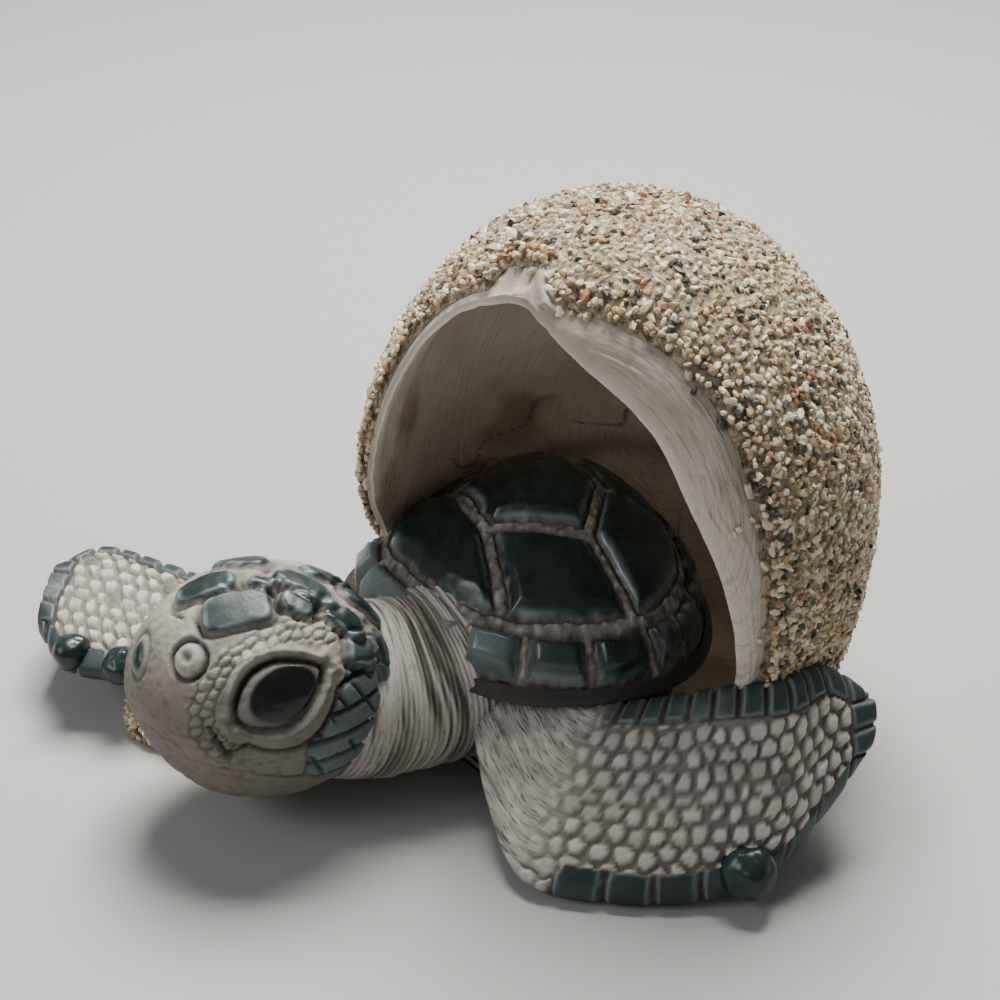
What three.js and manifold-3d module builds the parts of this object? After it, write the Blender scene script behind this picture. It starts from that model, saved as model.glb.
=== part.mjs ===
// A glazed clay sea turtle hatchling climbing out of its sand-coated egg, a small souvenir figurine.
// Millimetres, +Z up. The origin is the centre of the egg's flat foot and the turtle faces -Y.
import * as THREE from "three";
import { mergeVertices } from "three/addons/utils/BufferGeometryUtils.js";
import Module from "manifold-3d";

// Driving sizes of the egg
const EGG_RADIUS = 25; // clay, at its widest
const EGG_HEIGHT = 57;
const EGG_WAIST = 26.5; // height of the widest ring
const EGG_FOOT_DEPTH = 40; // half-height of the fuller lower half, cut off flat at the table
const WALL = 2.6;
const FLOOR = 3;
const GAP = 0.3; // clearance between neighbouring pieces
const SAND = 1; // thickness of the sand coat
const SAND_LIFT = 0.4; // the coat stops this far above the table
const SAND_EDGE = 1.5; // degrees of bare clay between the lip and the coat
const OPENING_TURN = -62; // compass of the opening's middle, degrees from +X
const OPENING_TILT = 12; // degrees above level
const LIP_ROLL = 9; // degrees that the right lip rolls in over the opening
const LIP_DROP = 3.4; // how far its inner edge lies below the egg's surface
const BROKEN_EDGE = 0.6; // depth of the rounded rim where the clay is only broken off
const RIM_WALL = 1.1; // thickness of the wall just behind that rim
const THICKENING = 14; // degrees over which it grows to the full wall

// Driving sizes of the turtle
const TURTLE_SPAN = 80; // from the right flipper's tip to the left one's
const SHELL_LEFT_HALF = 23; // half-width of the carapace on the open side
const SHELL_RIGHT_HALF = 17; // the other half is pressed against the egg's wall
const SHELL_FRONT_HALF = 22.4; // half-lengths before and behind its widest place
const SHELL_BACK_HALF = 14;
const SHELL_CORNER = 2.6; // the right front corner stands out of the egg by this much more
const SHELL_RIM = 14; // height of the carapace's edge
const MARGIN_RISE = 6; // from that edge up to the marginal seam
const SHELL_RISE = 7.3; // from the marginal seam up to the crest
const SHELL_EDGE = 2.4; // thickness of the edge
const SEAM_DEPTH = 1.1;
const SEAM_WIDTH = 0.85;
const BELLY = 0.8; // height of the plastron above the table
const NECK_RADIUS = 9.6;
const HEAD_LENGTH = 26;
const HEAD_WIDTH = 22;
const HEAD_HEIGHT = 23.4;
const HEAD_LIFT = 14.5; // height of its middle
const FLIPPER_THICKNESS = 4.4;
const LEFT_CLAW = 2.8; // radius of the claws, which are round knobs
const RIGHT_CLAW = 2.1;

const wasm = await Module();
wasm.setup();

const TAU = 2 * Math.PI;
const radians = THREE.MathUtils.degToRad;
const clamp = THREE.MathUtils.clamp;
const mix = THREE.MathUtils.lerp;
const smooth = (low, high, x) => THREE.MathUtils.smoothstep(x, low, high);
const point = (x, y, z) => new THREE.Vector3(x, y, z);

// A smooth value through [position, value] pairs, with level ends.
function curve(pairs, x) {
  const last = pairs.length - 1;
  if (x <= pairs[0][0]) return pairs[0][1];
  if (x >= pairs[last][0]) return pairs[last][1];
  const i = pairs.findIndex(([at]) => at > x) - 1;
  const slope = (k) => {
    if (k <= 0 || k >= last) return 0;
    return (pairs[k + 1][1] - pairs[k - 1][1]) / (pairs[k + 1][0] - pairs[k - 1][0]);
  };
  const span = pairs[i + 1][0] - pairs[i][0];
  const t = (x - pairs[i][0]) / span;
  const [a, b] = [pairs[i][1], pairs[i + 1][1]];
  const [ma, mb] = [slope(i) * span, slope(i + 1) * span];
  return (
    a + t * ma + t * t * (3 * (b - a) - 2 * ma - mb) + t * t * t * (2 * (a - b) + ma + mb)
  );
}

// A closed skin over a row of rings with equal counts, faces out; each end is closed on its middle.
function skin(rings) {
  const count = rings[0].length;
  const middle = (ring) =>
    ring.reduce((sum, p) => sum.add(p), point(0, 0, 0)).divideScalar(count);
  const points = [middle(rings[0]), ...rings.flat(), middle(rings.at(-1))];
  const faces = [];
  const at = (row, col) => 1 + row * count + ((col + count) % count);
  const tail = points.length - 1;
  for (let col = 0; col < count; col++) {
    faces.push(0, at(0, col + 1), at(0, col));
    faces.push(tail, at(rings.length - 1, col), at(rings.length - 1, col + 1));
    for (let row = 0; row + 1 < rings.length; row++) {
      faces.push(at(row, col), at(row, col + 1), at(row + 1, col));
      faces.push(at(row, col + 1), at(row + 1, col + 1), at(row + 1, col));
    }
  }
  const corner = (i) => points[faces[i]];
  let volume = 0;
  for (let i = 0; i < faces.length; i += 3)
    volume += corner(i).dot(corner(i + 1).clone().cross(corner(i + 2)));
  if (volume < 0) faces.reverse();
  const geometry = new THREE.BufferGeometry().setFromPoints(points);
  geometry.setIndex(faces);
  return geometry;
}

// A three.js geometry as a solid that can be joined and cut.
function solid(geometry) {
  const bare = geometry.clone();
  bare.deleteAttribute("normal");
  bare.deleteAttribute("uv");
  const merged = mergeVertices(bare, 1e-4);
  return new wasm.Manifold(
    new wasm.Mesh({
      numProp: 3,
      vertProperties: merged.attributes.position.array,
      triVerts: new Uint32Array(merged.index.array),
    }),
  );
}

function geometryOf(made) {
  const { vertProperties, triVerts } = made.getMesh();
  const geometry = new THREE.BufferGeometry();
  geometry.setAttribute("position", new THREE.BufferAttribute(vertProperties, 3));
  geometry.setIndex(new THREE.BufferAttribute(triVerts, 1));
  geometry.computeVertexNormals();
  return geometry;
}

// Everything above a level, as a large block to cut with.
const REACH = 3 * (EGG_HEIGHT + EGG_RADIUS);
function above(level) {
  const block = new THREE.BoxGeometry(2 * REACH, 2 * REACH, REACH);
  return solid(block.translate(0, 0, level + REACH / 2));
}

// The egg: its surface is two half-ellipsoids that meet at the waist, seen from a middle point.
const HEART = point(0, 0, EGG_WAIST);
function compass(turn, tilt) {
  const [a, e] = [radians(turn), radians(tilt)];
  return point(Math.cos(e) * Math.cos(a), Math.cos(e) * Math.sin(a), Math.sin(e));
}
const OUT = compass(OPENING_TURN, OPENING_TILT);
const UP = compass(OPENING_TURN, OPENING_TILT + 90);
const ASIDE = UP.clone().cross(OUT);

function eggDistance(way, grow) {
  const wide = EGG_RADIUS + grow;
  const upper = EGG_HEIGHT - EGG_WAIST + grow;
  const high = way.z > 0 ? upper : EGG_FOOT_DEPTH + grow;
  return 1 / Math.hypot(way.x / wide, way.y / wide, way.z / high);
}

// Half-angle of the opening around its own axis; 0 is its top, positive turns go to the right lip.
const OPENING_EDGE = [
  [-180, 68],
  [-150, 80],
  [-125, 85],
  [-110, 81],
  [-97, 68],
  [-75, 57.5],
  [-35, 57],
  [-16, 54.5],
  [-2, 50],
  [30, 50.5],
  [62, 50],
  [95, 54],
  [130, 64],
  [180, 66],
];
const openingEdge = (turn) => curve(OPENING_EDGE, turn);

// The right side of the lip rolls inward; everywhere else the clay is only broken off.
const LIP_SHARE = [
  [-180, 0.08],
  [-15, 0.08],
  [10, 0.7],
  [35, 1],
  [68, 1],
  [110, 0.4],
  [140, 0.08],
];
const lipShare = (turn) => curve(LIP_SHARE, turn);

function way(turn, spread) {
  const [a, s] = [radians(turn), radians(spread)];
  return OUT.clone()
    .multiplyScalar(Math.cos(s))
    .addScaledVector(UP, Math.sin(s) * Math.cos(a))
    .addScaledVector(ASIDE, Math.sin(s) * Math.sin(a));
}
const fromHeart = (direction, distance) => HEART.clone().addScaledVector(direction, distance);

const EGG_COLUMNS = 40;
const EGG_ROWS = 10;
const LIP_ROWS = 3;
function ringOf(makePoint) {
  return Array.from({ length: EGG_COLUMNS }, (_, i) => makePoint((360 * i) / EGG_COLUMNS - 180));
}

// Distance to the inner face: the inside of a wall of that thickness, or the floor below.
function innerDistance(direction, grow, thickness = WALL) {
  const wall = eggDistance(direction, grow - thickness);
  const floor = HEART.z - FLOOR + grow;
  return direction.z < 0 ? Math.min(wall, floor / -direction.z) : wall;
}

// Rows of the egg's surface from its back to the opening; clay and sand share them, so they stay parallel.
function outerSpread(turn, row, edgeShift) {
  const spread = mix(179, openingEdge(turn), row / (EGG_ROWS - 1));
  return row === EGG_ROWS - 1 ? spread + edgeShift : spread;
}

// The wall of the egg between an outer and an inner offset, open at the front.
function eggWall(outside, inside, edgeShift) {
  const rings = [];
  for (let row = 0; row < EGG_ROWS; row++) {
    rings.push(
      ringOf((turn) => {
        const direction = way(turn, outerSpread(turn, row, edgeShift));
        return fromHeart(direction, eggDistance(direction, outside));
      }),
    );
  }
  for (let row = 1; row <= LIP_ROWS; row++) {
    const bend = (row / LIP_ROWS) * (Math.PI / 2);
    rings.push(
      ringOf((turn) => {
        const share = lipShare(turn);
        const spread = openingEdge(turn) + edgeShift - LIP_ROLL * share * Math.sin(bend);
        const direction = way(turn, spread);
        const depth = mix(BROKEN_EDGE, LIP_DROP, share) + outside - inside;
        return fromHeart(
          direction,
          eggDistance(direction, outside) - depth * (1 - Math.cos(bend)),
        );
      }),
    );
  }
  for (let row = 1; row < EGG_ROWS; row++) {
    rings.push(
      ringOf((turn) => {
        const edge = openingEdge(turn) + edgeShift;
        const spread = mix(edge + 2, 179, (row - 1) / (EGG_ROWS - 2));
        const full = Math.max(lipShare(turn), smooth(0, THICKENING, spread - edge));
        const direction = way(turn, spread);
        return fromHeart(direction, innerDistance(direction, inside, mix(RIM_WALL, WALL, full)));
      }),
    );
  }
  return solid(skin(rings));
}

// The sand lies on the clay as a thin skin, from just outside the lip down to the table.
function sandSkin() {
  const rings = [];
  for (const [grow, back] of [
    [GAP, false],
    [GAP + SAND, true],
  ]) {
    for (let i = 0; i < EGG_ROWS; i++) {
      const row = back ? EGG_ROWS - 1 - i : i;
      rings.push(
        ringOf((turn) => {
          const direction = way(turn, outerSpread(turn, row, SAND_EDGE));
          return fromHeart(direction, eggDistance(direction, grow));
        }),
      );
    }
  }
  return solid(skin(rings)).intersect(above(SAND_LIFT));
}

// Keeps a point of the turtle inside the egg's wall wherever the egg isn't open.
function insideEgg(p) {
  const direction = p.clone().sub(HEART);
  const distance = direction.length();
  direction.normalize();
  const spread = THREE.MathUtils.radToDeg(Math.acos(clamp(direction.dot(OUT), -1, 1)));
  const turn = THREE.MathUtils.radToDeg(Math.atan2(direction.dot(ASIDE), direction.dot(UP)));
  const most = innerDistance(direction, -GAP);
  return spread > openingEdge(turn) && distance > most ? fromHeart(direction, most) : p;
}

// Carapace: across is to the turtle's left, along runs from its front seam to the tail.
const SHELL_TURN = 11.5; // degrees that the body is turned to its own right
const PART = TURTLE_SPAN / 80; // the turtle is laid out in eightieths of its span
const SHELL_MIDDLE = point(-7.1, -1.7, 0).multiplyScalar(PART);
const MARGIN = 0.78; // the marginal scutes start at this share of the outline
const MARGIN_STEP = 19; // degrees per marginal scute
const NUCHAL_HALF = 15; // degrees, half of the scute behind the neck
const CREST = -1.1 * PART; // the crest runs this far to the right of the middle
const FRONT_SEAM = -9.5 * PART; // the seam between the first two vertebral scutes, from the middle
const VERTEBRAL_HALF = 4 * PART; // half the width of a vertebral scute's front edge
const VERTEBRAL_LENGTH = 13 * PART;
const LATERAL = 10.2 * PART; // the side corner of a vertebral scute, from the crest
const LATERAL_SHARE = 0.64; // and how far back along the scute it lies
// Seams of the left half, as lines from one corner to the next; the right half mirrors them.
function shellSeams() {
  const seams = [[VERTEBRAL_HALF, FRONT_SEAM, 0.55 * SHELL_LEFT_HALF, FRONT_SEAM - 2.4 * PART]];
  for (let i = 0; i < 3; i++) {
    const along = FRONT_SEAM + i * VERTEBRAL_LENGTH;
    const side = along + LATERAL_SHARE * VERTEBRAL_LENGTH;
    seams.push([0, along, VERTEBRAL_HALF, along]);
    seams.push([VERTEBRAL_HALF, along, LATERAL, side]);
    seams.push([LATERAL, side, VERTEBRAL_HALF, along + VERTEBRAL_LENGTH]);
    seams.push([LATERAL, side, SHELL_LEFT_HALF, side + PART]);
  }
  return seams;
}
const SEAMS = shellSeams();

function toSegment(x, y, [ax, ay, bx, by]) {
  const [dx, dy] = [bx - ax, by - ay];
  const t = clamp(((x - ax) * dx + (y - ay) * dy) / (dx * dx + dy * dy), 0, 1);
  return Math.hypot(x - ax - t * dx, y - ay - t * dy);
}

// How deep the seams cut at a place of the carapace, 0 to 1.
function seamCut(across, along, share, angle) {
  const fromMargin = Math.abs(share - MARGIN) * SHELL_FRONT_HALF;
  let nearest = fromMargin;
  if (share < MARGIN) {
    for (const seam of SEAMS)
      nearest = Math.min(nearest, toSegment(Math.abs(across - CREST), along, seam));
  } else {
    const past = (Math.abs(angle) - NUCHAL_HALF) / MARGIN_STEP;
    const off = past < -0.5 ? Infinity : Math.abs(past - Math.round(past));
    nearest = Math.min(nearest, radians(off * MARGIN_STEP) * SHELL_FRONT_HALF);
  }
  return Math.exp(-((nearest / SEAM_WIDTH) ** 2));
}

function shellPoint(angle, share, height) {
  const a = radians(angle);
  const across = (a > 0 ? SHELL_LEFT_HALF : SHELL_RIGHT_HALF) * share * Math.sin(a);
  const front = SHELL_FRONT_HALF + SHELL_CORNER * Math.max(0, -Math.sin(2 * a));
  const half = Math.cos(a) > 0 ? front : SHELL_BACK_HALF;
  const along = -half * share * Math.cos(a);
  const t = radians(SHELL_TURN);
  return insideEgg(
    point(
      SHELL_MIDDLE.x + across * Math.cos(t) + along * Math.sin(t),
      SHELL_MIDDLE.y - across * Math.sin(t) + along * Math.cos(t),
      height(across, along),
    ),
  );
}

// Height of the carapace at a share of its outline: a steep marginal band, then the dome.
function domeHeight(share) {
  if (share < MARGIN) return SHELL_RIM + MARGIN_RISE + SHELL_RISE * (1 - (share / MARGIN) ** 1.8);
  return SHELL_RIM + MARGIN_RISE * ((1 - share) / (1 - MARGIN)) ** 0.6;
}

const SHELL_COLUMNS = 56;
const SHELL_ROWS = 16;
// Under the edge: share of the outline and height, down to the plastron.
const UNDERSIDE = [
  [1.0, SHELL_RIM - 0.4 * SHELL_EDGE],
  [0.96, SHELL_RIM - SHELL_EDGE],
  [0.84, SHELL_RIM - SHELL_EDGE],
  [0.78, mix(BELLY, SHELL_RIM, 0.45)],
  [0.66, BELLY + 1],
  [0.5, BELLY],
  [0.08, BELLY],
];
function trunk() {
  const ring = (share, height) =>
    Array.from({ length: SHELL_COLUMNS }, (_, i) => {
      const angle = (360 * i) / SHELL_COLUMNS - 180;
      return shellPoint(angle, share, (across, along) => height(across, along, angle));
    });
  const rings = [];
  for (let row = 1; row <= SHELL_ROWS; row++) {
    const share = (row / SHELL_ROWS) ** 0.85;
    rings.push(
      ring(share, (across, along, angle) => {
        const cut = share < 0.99 ? seamCut(across, along, share, angle) : 0;
        return domeHeight(share) - SEAM_DEPTH * cut;
      }),
    );
  }
  for (const [share, height] of UNDERSIDE) rings.push(ring(share, () => height));
  return solid(skin(rings.reverse()));
}

// Rings along a path, each ring made in the plane square to the path.
function sweep(stations, columns, pathPoint, ringPoint) {
  const rings = [];
  for (let row = 0; row <= stations; row++) {
    const s = row / stations;
    const step = 0.01;
    const forward = pathPoint(s + step).sub(pathPoint(s - step)).normalize();
    const side = point(0, 0, 1).cross(forward).normalize();
    const lift = forward.clone().cross(side);
    rings.push(
      Array.from({ length: columns }, (_, i) => {
        const [u, v] = ringPoint(s, (TAU * i) / columns);
        return pathPoint(s).addScaledVector(side, u).addScaledVector(lift, v);
      }),
    );
  }
  return solid(skin(rings));
}

// Neck: out of the opening and round to the head, with a fine ripple of skin folds.
const HEAD_WAY = compass(-126.87, 0);
const HEAD_MIDDLE = point(-9.2 * PART, -37 * PART, HEAD_LIFT);
const NECK_ROOT = point(-4.5 * PART, -14 * PART, SHELL_RIM - 3.4);
const NECK_BEND = point(-4.5 * PART, -27 * PART, SHELL_RIM - 5.5);
function neck() {
  const path = new THREE.QuadraticBezierCurve3(NECK_ROOT, NECK_BEND, HEAD_MIDDLE);
  return sweep(
    12,
    22,
    (s) => path.getPoint(s),
    (s, a) => {
      const waist = 0.16 * Math.sin(Math.PI * clamp(1.25 * s, 0, 1));
      const wide = NECK_RADIUS * (1.08 - waist - 0.2 * smooth(0.45, 0.85, s));
      return [wide * Math.cos(a), wide * Math.sin(a)];
    },
  );
}

// Head: an egg-shaped ball with a blunt snout, brows, eyes and a cut mouth line.
const EYE_BACK = -0.16; // place of the eye as shares of the head's half sizes
const EYE_UP = 0.42;
const EYE_RADIUS = 4.6;
function headRelief(forward, left, up) {
  const side = Math.abs(left);
  const fromEye =
    Math.hypot((forward - EYE_BACK) * HEAD_LENGTH, (up - EYE_UP) * HEAD_HEIGHT * 1.25) / 2;
  const ball = side > 0.3 ? Math.max(0, 1 - (fromEye / (0.75 * EYE_RADIUS)) ** 2) : 0;
  const lid = side > 0.3 ? Math.exp(-(((fromEye - EYE_RADIUS) / 0.9) ** 2)) : 0;
  const mouthLine = -0.42 - 0.12 * forward;
  const mouth = Math.exp(-((((up - mouthLine) * HEAD_HEIGHT) / 2 / 0.8) ** 2));
  const crown = smooth(0.55, 0.8, up) * Math.cos(9 * forward) * Math.cos(9 * left);
  return 0.8 * ball + 0.9 * lid - 0.8 * mouth * smooth(-0.6, -0.2, forward) + 0.5 * crown;
}
const HEAD_ROWS = 19;
const HEAD_COLUMNS = 24;
function head() {
  const left = point(0, 0, 1).cross(HEAD_WAY);
  const rings = [];
  for (let row = 1; row < HEAD_ROWS; row++) {
    const tilt = Math.PI * (row / HEAD_ROWS);
    rings.push(
      Array.from({ length: HEAD_COLUMNS }, (_, i) => {
        const a = (TAU * i) / HEAD_COLUMNS;
        const f = -Math.cos(tilt);
        const l = Math.sin(tilt) * Math.cos(a);
        const u = Math.sin(tilt) * Math.sin(a);
        const taper = 1 - 0.1 * smooth(0.3, 1, f);
        const swell = headRelief(f, l, u);
        return HEAD_MIDDLE.clone()
          .addScaledVector(HEAD_WAY, f * (HEAD_LENGTH / 2 + swell))
          .addScaledVector(left, l * taper * (HEAD_WIDTH / 2 + swell))
          .add(point(0, 0, u * taper * (HEAD_HEIGHT / 2 + swell)));
      }),
    );
  }
  return solid(skin(rings));
}

// A flipper: cross-sections from the shoulder to the tip between a leading and a trailing edge.
function flipper(leading, trailing, columns) {
  const lead = new THREE.CatmullRomCurve3(leading);
  const trail = new THREE.CatmullRomCurve3(trailing);
  const stations = 19;
  const rings = [];
  for (let row = 0; row <= stations; row++) {
    const s = row / stations;
    const a = lead.getPoint(s);
    const b = trail.getPoint(s);
    const middle = a.clone().add(b).divideScalar(2);
    const half = b.clone().sub(a).divideScalar(2);
    const forward = lead.getTangent(s).add(trail.getTangent(s)).normalize();
    const face = forward.clone().cross(half).normalize();
    if (face.z < 0) face.negate();
    rings.push(
      Array.from({ length: columns }, (_, i) => {
        const t = (TAU * i) / columns;
        const [c, n] = [Math.cos(t), Math.sin(t)];
        const across = Math.sign(c) * Math.abs(c) ** 0.8;
        const thick = (Math.sign(n) * Math.abs(n) ** 0.8 - 1) / 2;
        const pebble = n > 0.2 ? 0.45 * Math.cos(TAU * 4 * across) * Math.cos(TAU * 9 * s) : 0;
        return middle
          .clone()
          .addScaledVector(half, across)
          .addScaledVector(face, FLIPPER_THICKNESS * thick + pebble);
      }),
    );
  }
  return solid(skin(rings));
}

// The left flipper sweeps back beside the egg: its leading edge lies on the table,
// its trailing edge leans towards the egg.
const SWEEP = radians(53.13); // the flippers are laid out along a line at this angle from +X
const swept = (x, y, z) =>
  point(x, y, z).applyAxisAngle(point(0, 0, 1), SWEEP).multiplyScalar(PART);
const leftFlipper = () =>
  flipper(
    [
      swept(-15, -14, 11),
      swept(-13.5, -23, 7),
      swept(-10, -30.5, 3),
      swept(-1, -33, 2),
      swept(8, -33, 2),
      swept(14, -31.5, 3),
      swept(20, -26.5, 7),
      swept(24, -22, 11),
    ],
    [
      swept(-9, -10, 14),
      swept(-6, -13, 14),
      swept(-2, -17, 14.4),
      swept(4, -19.8, 16.8),
      swept(9.5, -22.4, 19.4),
      swept(15, -22.9, 20.2),
      swept(20, -19, 19.2),
      swept(24.5, -18, 15.5),
    ],
    14,
  );

// The right flipper reaches out level beside the head.
const rightFlipper = () =>
  flipper(
    [
      swept(-22, -7, 12),
      swept(-32, -7, 10.5),
      swept(-42, -6, 9),
      swept(-51, -4.5, 8.5),
      swept(-57.5, -2.5, 8.5),
      swept(-61.5, 3.5, 9.5),
    ],
    [
      swept(-20, 2, 12.5),
      swept(-30, 2, 12.5),
      swept(-39, 6, 12),
      swept(-48.5, 12.5, 11.5),
      swept(-56.5, 17, 11),
      swept(-61, 13.5, 10.5),
    ],
    14,
  );

// A claw: a small ball half sunk in the leading edge, one on the left flipper and two on the right.
function claw(radius, place) {
  const ball = new THREE.SphereGeometry(radius, 8, 6).rotateX(Math.PI / 2);
  return solid(ball.translate(place.x, place.y, place.z));
}
const claws = () => [
  claw(LEFT_CLAW, swept(11.5, -30.6, 4)),
  claw(RIGHT_CLAW, swept(-51.3, -3.4, 7.7)),
  claw(RIGHT_CLAW, swept(-56.8, -1, 7.7)),
];

// The turtle is one piece of clay: trunk, neck, head and flippers, clear of the egg's wall and sand.
function turtle() {
  const wallAndSand = eggWall(SAND + 2 * GAP, -GAP, -1);
  const body = [neck(), head(), leftFlipper(), rightFlipper(), ...claws()].reduce(
    (all, next) => all.add(next),
    trunk(),
  );
  return body.subtract(wallAndSand);
}

// A low sand-coated lump of clay props the right flipper and the snout.
const MOUND_TOP = 7.5;
const MOUND_HALF_LENGTH = 12;
const MOUND_HALF_WIDTH = 7.5;
function sandMound(figure) {
  const rings = [];
  const middle = swept(-40, -2.5, 0);
  for (let row = 0; row < 7; row++) {
    const tilt = (row / 7) * (Math.PI / 2);
    rings.push(
      Array.from({ length: 18 }, (_, i) => {
        const a = (TAU * i) / 18;
        const wide = Math.cos(tilt) ** 0.8;
        return point(
          MOUND_HALF_LENGTH * wide * Math.cos(a),
          MOUND_HALF_WIDTH * wide * Math.sin(a),
          MOUND_TOP * Math.sin(tilt),
        )
          .applyAxisAngle(point(0, 0, 1), SWEEP)
          .add(middle);
      }),
    );
  }
  const clearances = [
    [0, 0, -2 * GAP],
    [GAP, 0, 0],
    [-GAP, 0, 0],
    [0, GAP, 0],
    [0, -GAP, 0],
  ];
  return clearances.reduce(
    (lump, move) => lump.subtract(figure.translate(...move)),
    solid(skin(rings)),
  );
}

const CLAY = { color: 0xd8d0c0, roughness: 0.85, metalness: 0 };
const GLAZE = { color: 0x27454a, roughness: 0.35, metalness: 0 };
const GRAINS = { color: 0xd9c49c, roughness: 0.95, metalness: 0 };

const figurine = new THREE.Group();
function place(name, made, finish) {
  const mesh = new THREE.Mesh(geometryOf(made), new THREE.MeshStandardMaterial(finish));
  mesh.name = name;
  figurine.add(mesh);
}

place("egg_shell", eggWall(0, 0, 0).intersect(above(0)), CLAY);
place("sand_coat", sandSkin(), GRAINS);
const figure = turtle();
place("turtle", figure, GLAZE);
place("sand_mound", sandMound(figure), GRAINS);

export default figurine;
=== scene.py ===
"""Looks of a small glazed clay figurine: a sea turtle hatchling climbing out of its sand-coated egg.

The formulas work in millimetres, +Z up, with the origin at the middle of the egg's flat foot.
"""

import bpy
import numpy as np
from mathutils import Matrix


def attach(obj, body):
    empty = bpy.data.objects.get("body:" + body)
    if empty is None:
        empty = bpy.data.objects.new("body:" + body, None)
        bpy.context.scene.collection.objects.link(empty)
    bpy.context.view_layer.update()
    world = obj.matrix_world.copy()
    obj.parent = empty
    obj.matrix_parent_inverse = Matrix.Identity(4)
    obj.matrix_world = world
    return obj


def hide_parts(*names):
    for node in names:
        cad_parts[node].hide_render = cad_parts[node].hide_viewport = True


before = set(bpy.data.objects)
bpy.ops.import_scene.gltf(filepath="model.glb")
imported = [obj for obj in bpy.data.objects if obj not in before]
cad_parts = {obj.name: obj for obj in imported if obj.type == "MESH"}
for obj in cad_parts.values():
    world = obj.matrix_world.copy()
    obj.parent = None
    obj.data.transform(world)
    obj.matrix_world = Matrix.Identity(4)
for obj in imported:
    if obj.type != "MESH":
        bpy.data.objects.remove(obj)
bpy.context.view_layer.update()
scene = bpy.context.scene

# Studio: a plain pale table that runs out of sight, a wide soft light overhead, a weaker one from
# the left and pale walls all round. The camera looks down from the turtle's front left.
TABLE_HALF = 3.0
TABLE_COLOUR = (0.40, 0.40, 0.385, 1)
WALL_COLOUR = (0.93, 0.96, 1.0, 1)
WALL_STRENGTH = 0.22
LAMP_AIM = (0, -0.02, 0.02)
CAMERA_PLACE = (0.1209, -0.1052, 0.1223)
CAMERA_TILT = 58.9
CAMERA_TURN = 53.13
CAMERA_LENS = 66.42


def new_finish(name):
    """A new material, its node tree and its Principled BSDF."""
    finish = bpy.data.materials.new(name)
    finish.use_nodes = True
    return finish, finish.node_tree, finish.node_tree.nodes["Principled BSDF"]


table_mesh = bpy.data.meshes.new("table")
table_mesh.from_pydata(
    [(-TABLE_HALF, -TABLE_HALF, 0), (TABLE_HALF, -TABLE_HALF, 0),
     (TABLE_HALF, TABLE_HALF, 0), (-TABLE_HALF, TABLE_HALF, 0)],
    [], [(0, 1, 2, 3)],
)
table = bpy.data.objects.new("table", table_mesh)
scene.collection.objects.link(table)
table_paint, tree, shader = new_finish("pale table")
shader.inputs["Base Color"].default_value = TABLE_COLOUR
shader.inputs["Roughness"].default_value = 0.7
table_mesh.materials.append(table_paint)

walls = bpy.data.worlds.new("studio")
walls.use_nodes = True
walls.node_tree.nodes["Background"].inputs["Color"].default_value = WALL_COLOUR
walls.node_tree.nodes["Background"].inputs["Strength"].default_value = WALL_STRENGTH
scene.world = walls


def soft_light(name, place, width, watts, colour):
    """A square lamp of that width at a place, in metres, facing the figurine."""
    lamp = bpy.data.lights.new(name, "AREA")
    lamp.size = width
    lamp.energy = watts
    lamp.color = colour
    carrier = bpy.data.objects.new(name, lamp)
    scene.collection.objects.link(carrier)
    carrier.location = place
    way = np.array(LAMP_AIM) - np.array(place)
    flat = np.hypot(way[0], way[1])
    carrier.rotation_euler = (np.arctan2(flat, -way[2]), 0, np.arctan2(-way[0], way[1]))


soft_light("overhead", (-0.14, 0.12, 0.42), 0.24, 5.6, (1.0, 0.985, 0.95))
soft_light("window", (-0.10, -0.42, 0.30), 0.20, 0.7, (0.97, 0.98, 1.0))

lens = bpy.data.cameras.new("camera")
lens.sensor_width = 36
lens.lens = CAMERA_LENS
camera = bpy.data.objects.new("camera", lens)
scene.collection.objects.link(camera)
camera.location = CAMERA_PLACE
camera.rotation_euler = (np.radians(CAMERA_TILT), 0, np.radians(CAMERA_TURN))
scene.camera = camera

# Egg: a pressed clay egg with a flat foot, its front broken open. The side of the break by the
# turtle's left flipper is rolled in as a soft flap with brush lines; dark slip stains the inside.
MM = 0.001
EGG_RADIUS = 25.0
EGG_HEIGHT = 57.0
EGG_WAIST = 26.5
EGG_FOOT_DEPTH = 40.0
WALL = 2.6
FLOOR = 3.0
LIP_ROLL = 9.0
LIP_DROP = 3.4
BROKEN_EDGE = 0.6
RIM_WALL = 1.1
THICKENING = 14.0
EGG_COLUMNS = 380
EGG_OUTER_ROWS = 34
EGG_LIP_ROWS = 60
EGG_INNER_ROWS = 96
RIDGE_TURN = -5
RIDGE_WIDE = 1.9
BRUSH_DEPTH = 0.12
BRUSH_LINES = 2.6
SCRATCH_HEIGHT = 25
RING_HEIGHT = 20
MM_PER_DEGREE = 0.436
BARE_LIGHT = (0.50, 0.44, 0.355, 1)
BARE_SHADE = (0.34, 0.285, 0.22, 1)
INNER_LIGHT = (0.84, 0.75, 0.635, 1)
INNER_SHADE = (0.72, 0.62, 0.505, 1)
RUST_STAIN = (0.30, 0.17, 0.08, 1)
CHALK_AND_PAINTED_LIGHT = (0.70, 0.635, 0.54, 1)
BRUSH_SHADE = (0.26, 0.215, 0.165, 1)
DARK_SLIP = (0.035, 0.030, 0.026, 1)
HEART = np.array([0, 0, EGG_WAIST])
OPENING_TURN = -62.0
OPENING_TILT = 12.0
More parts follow.
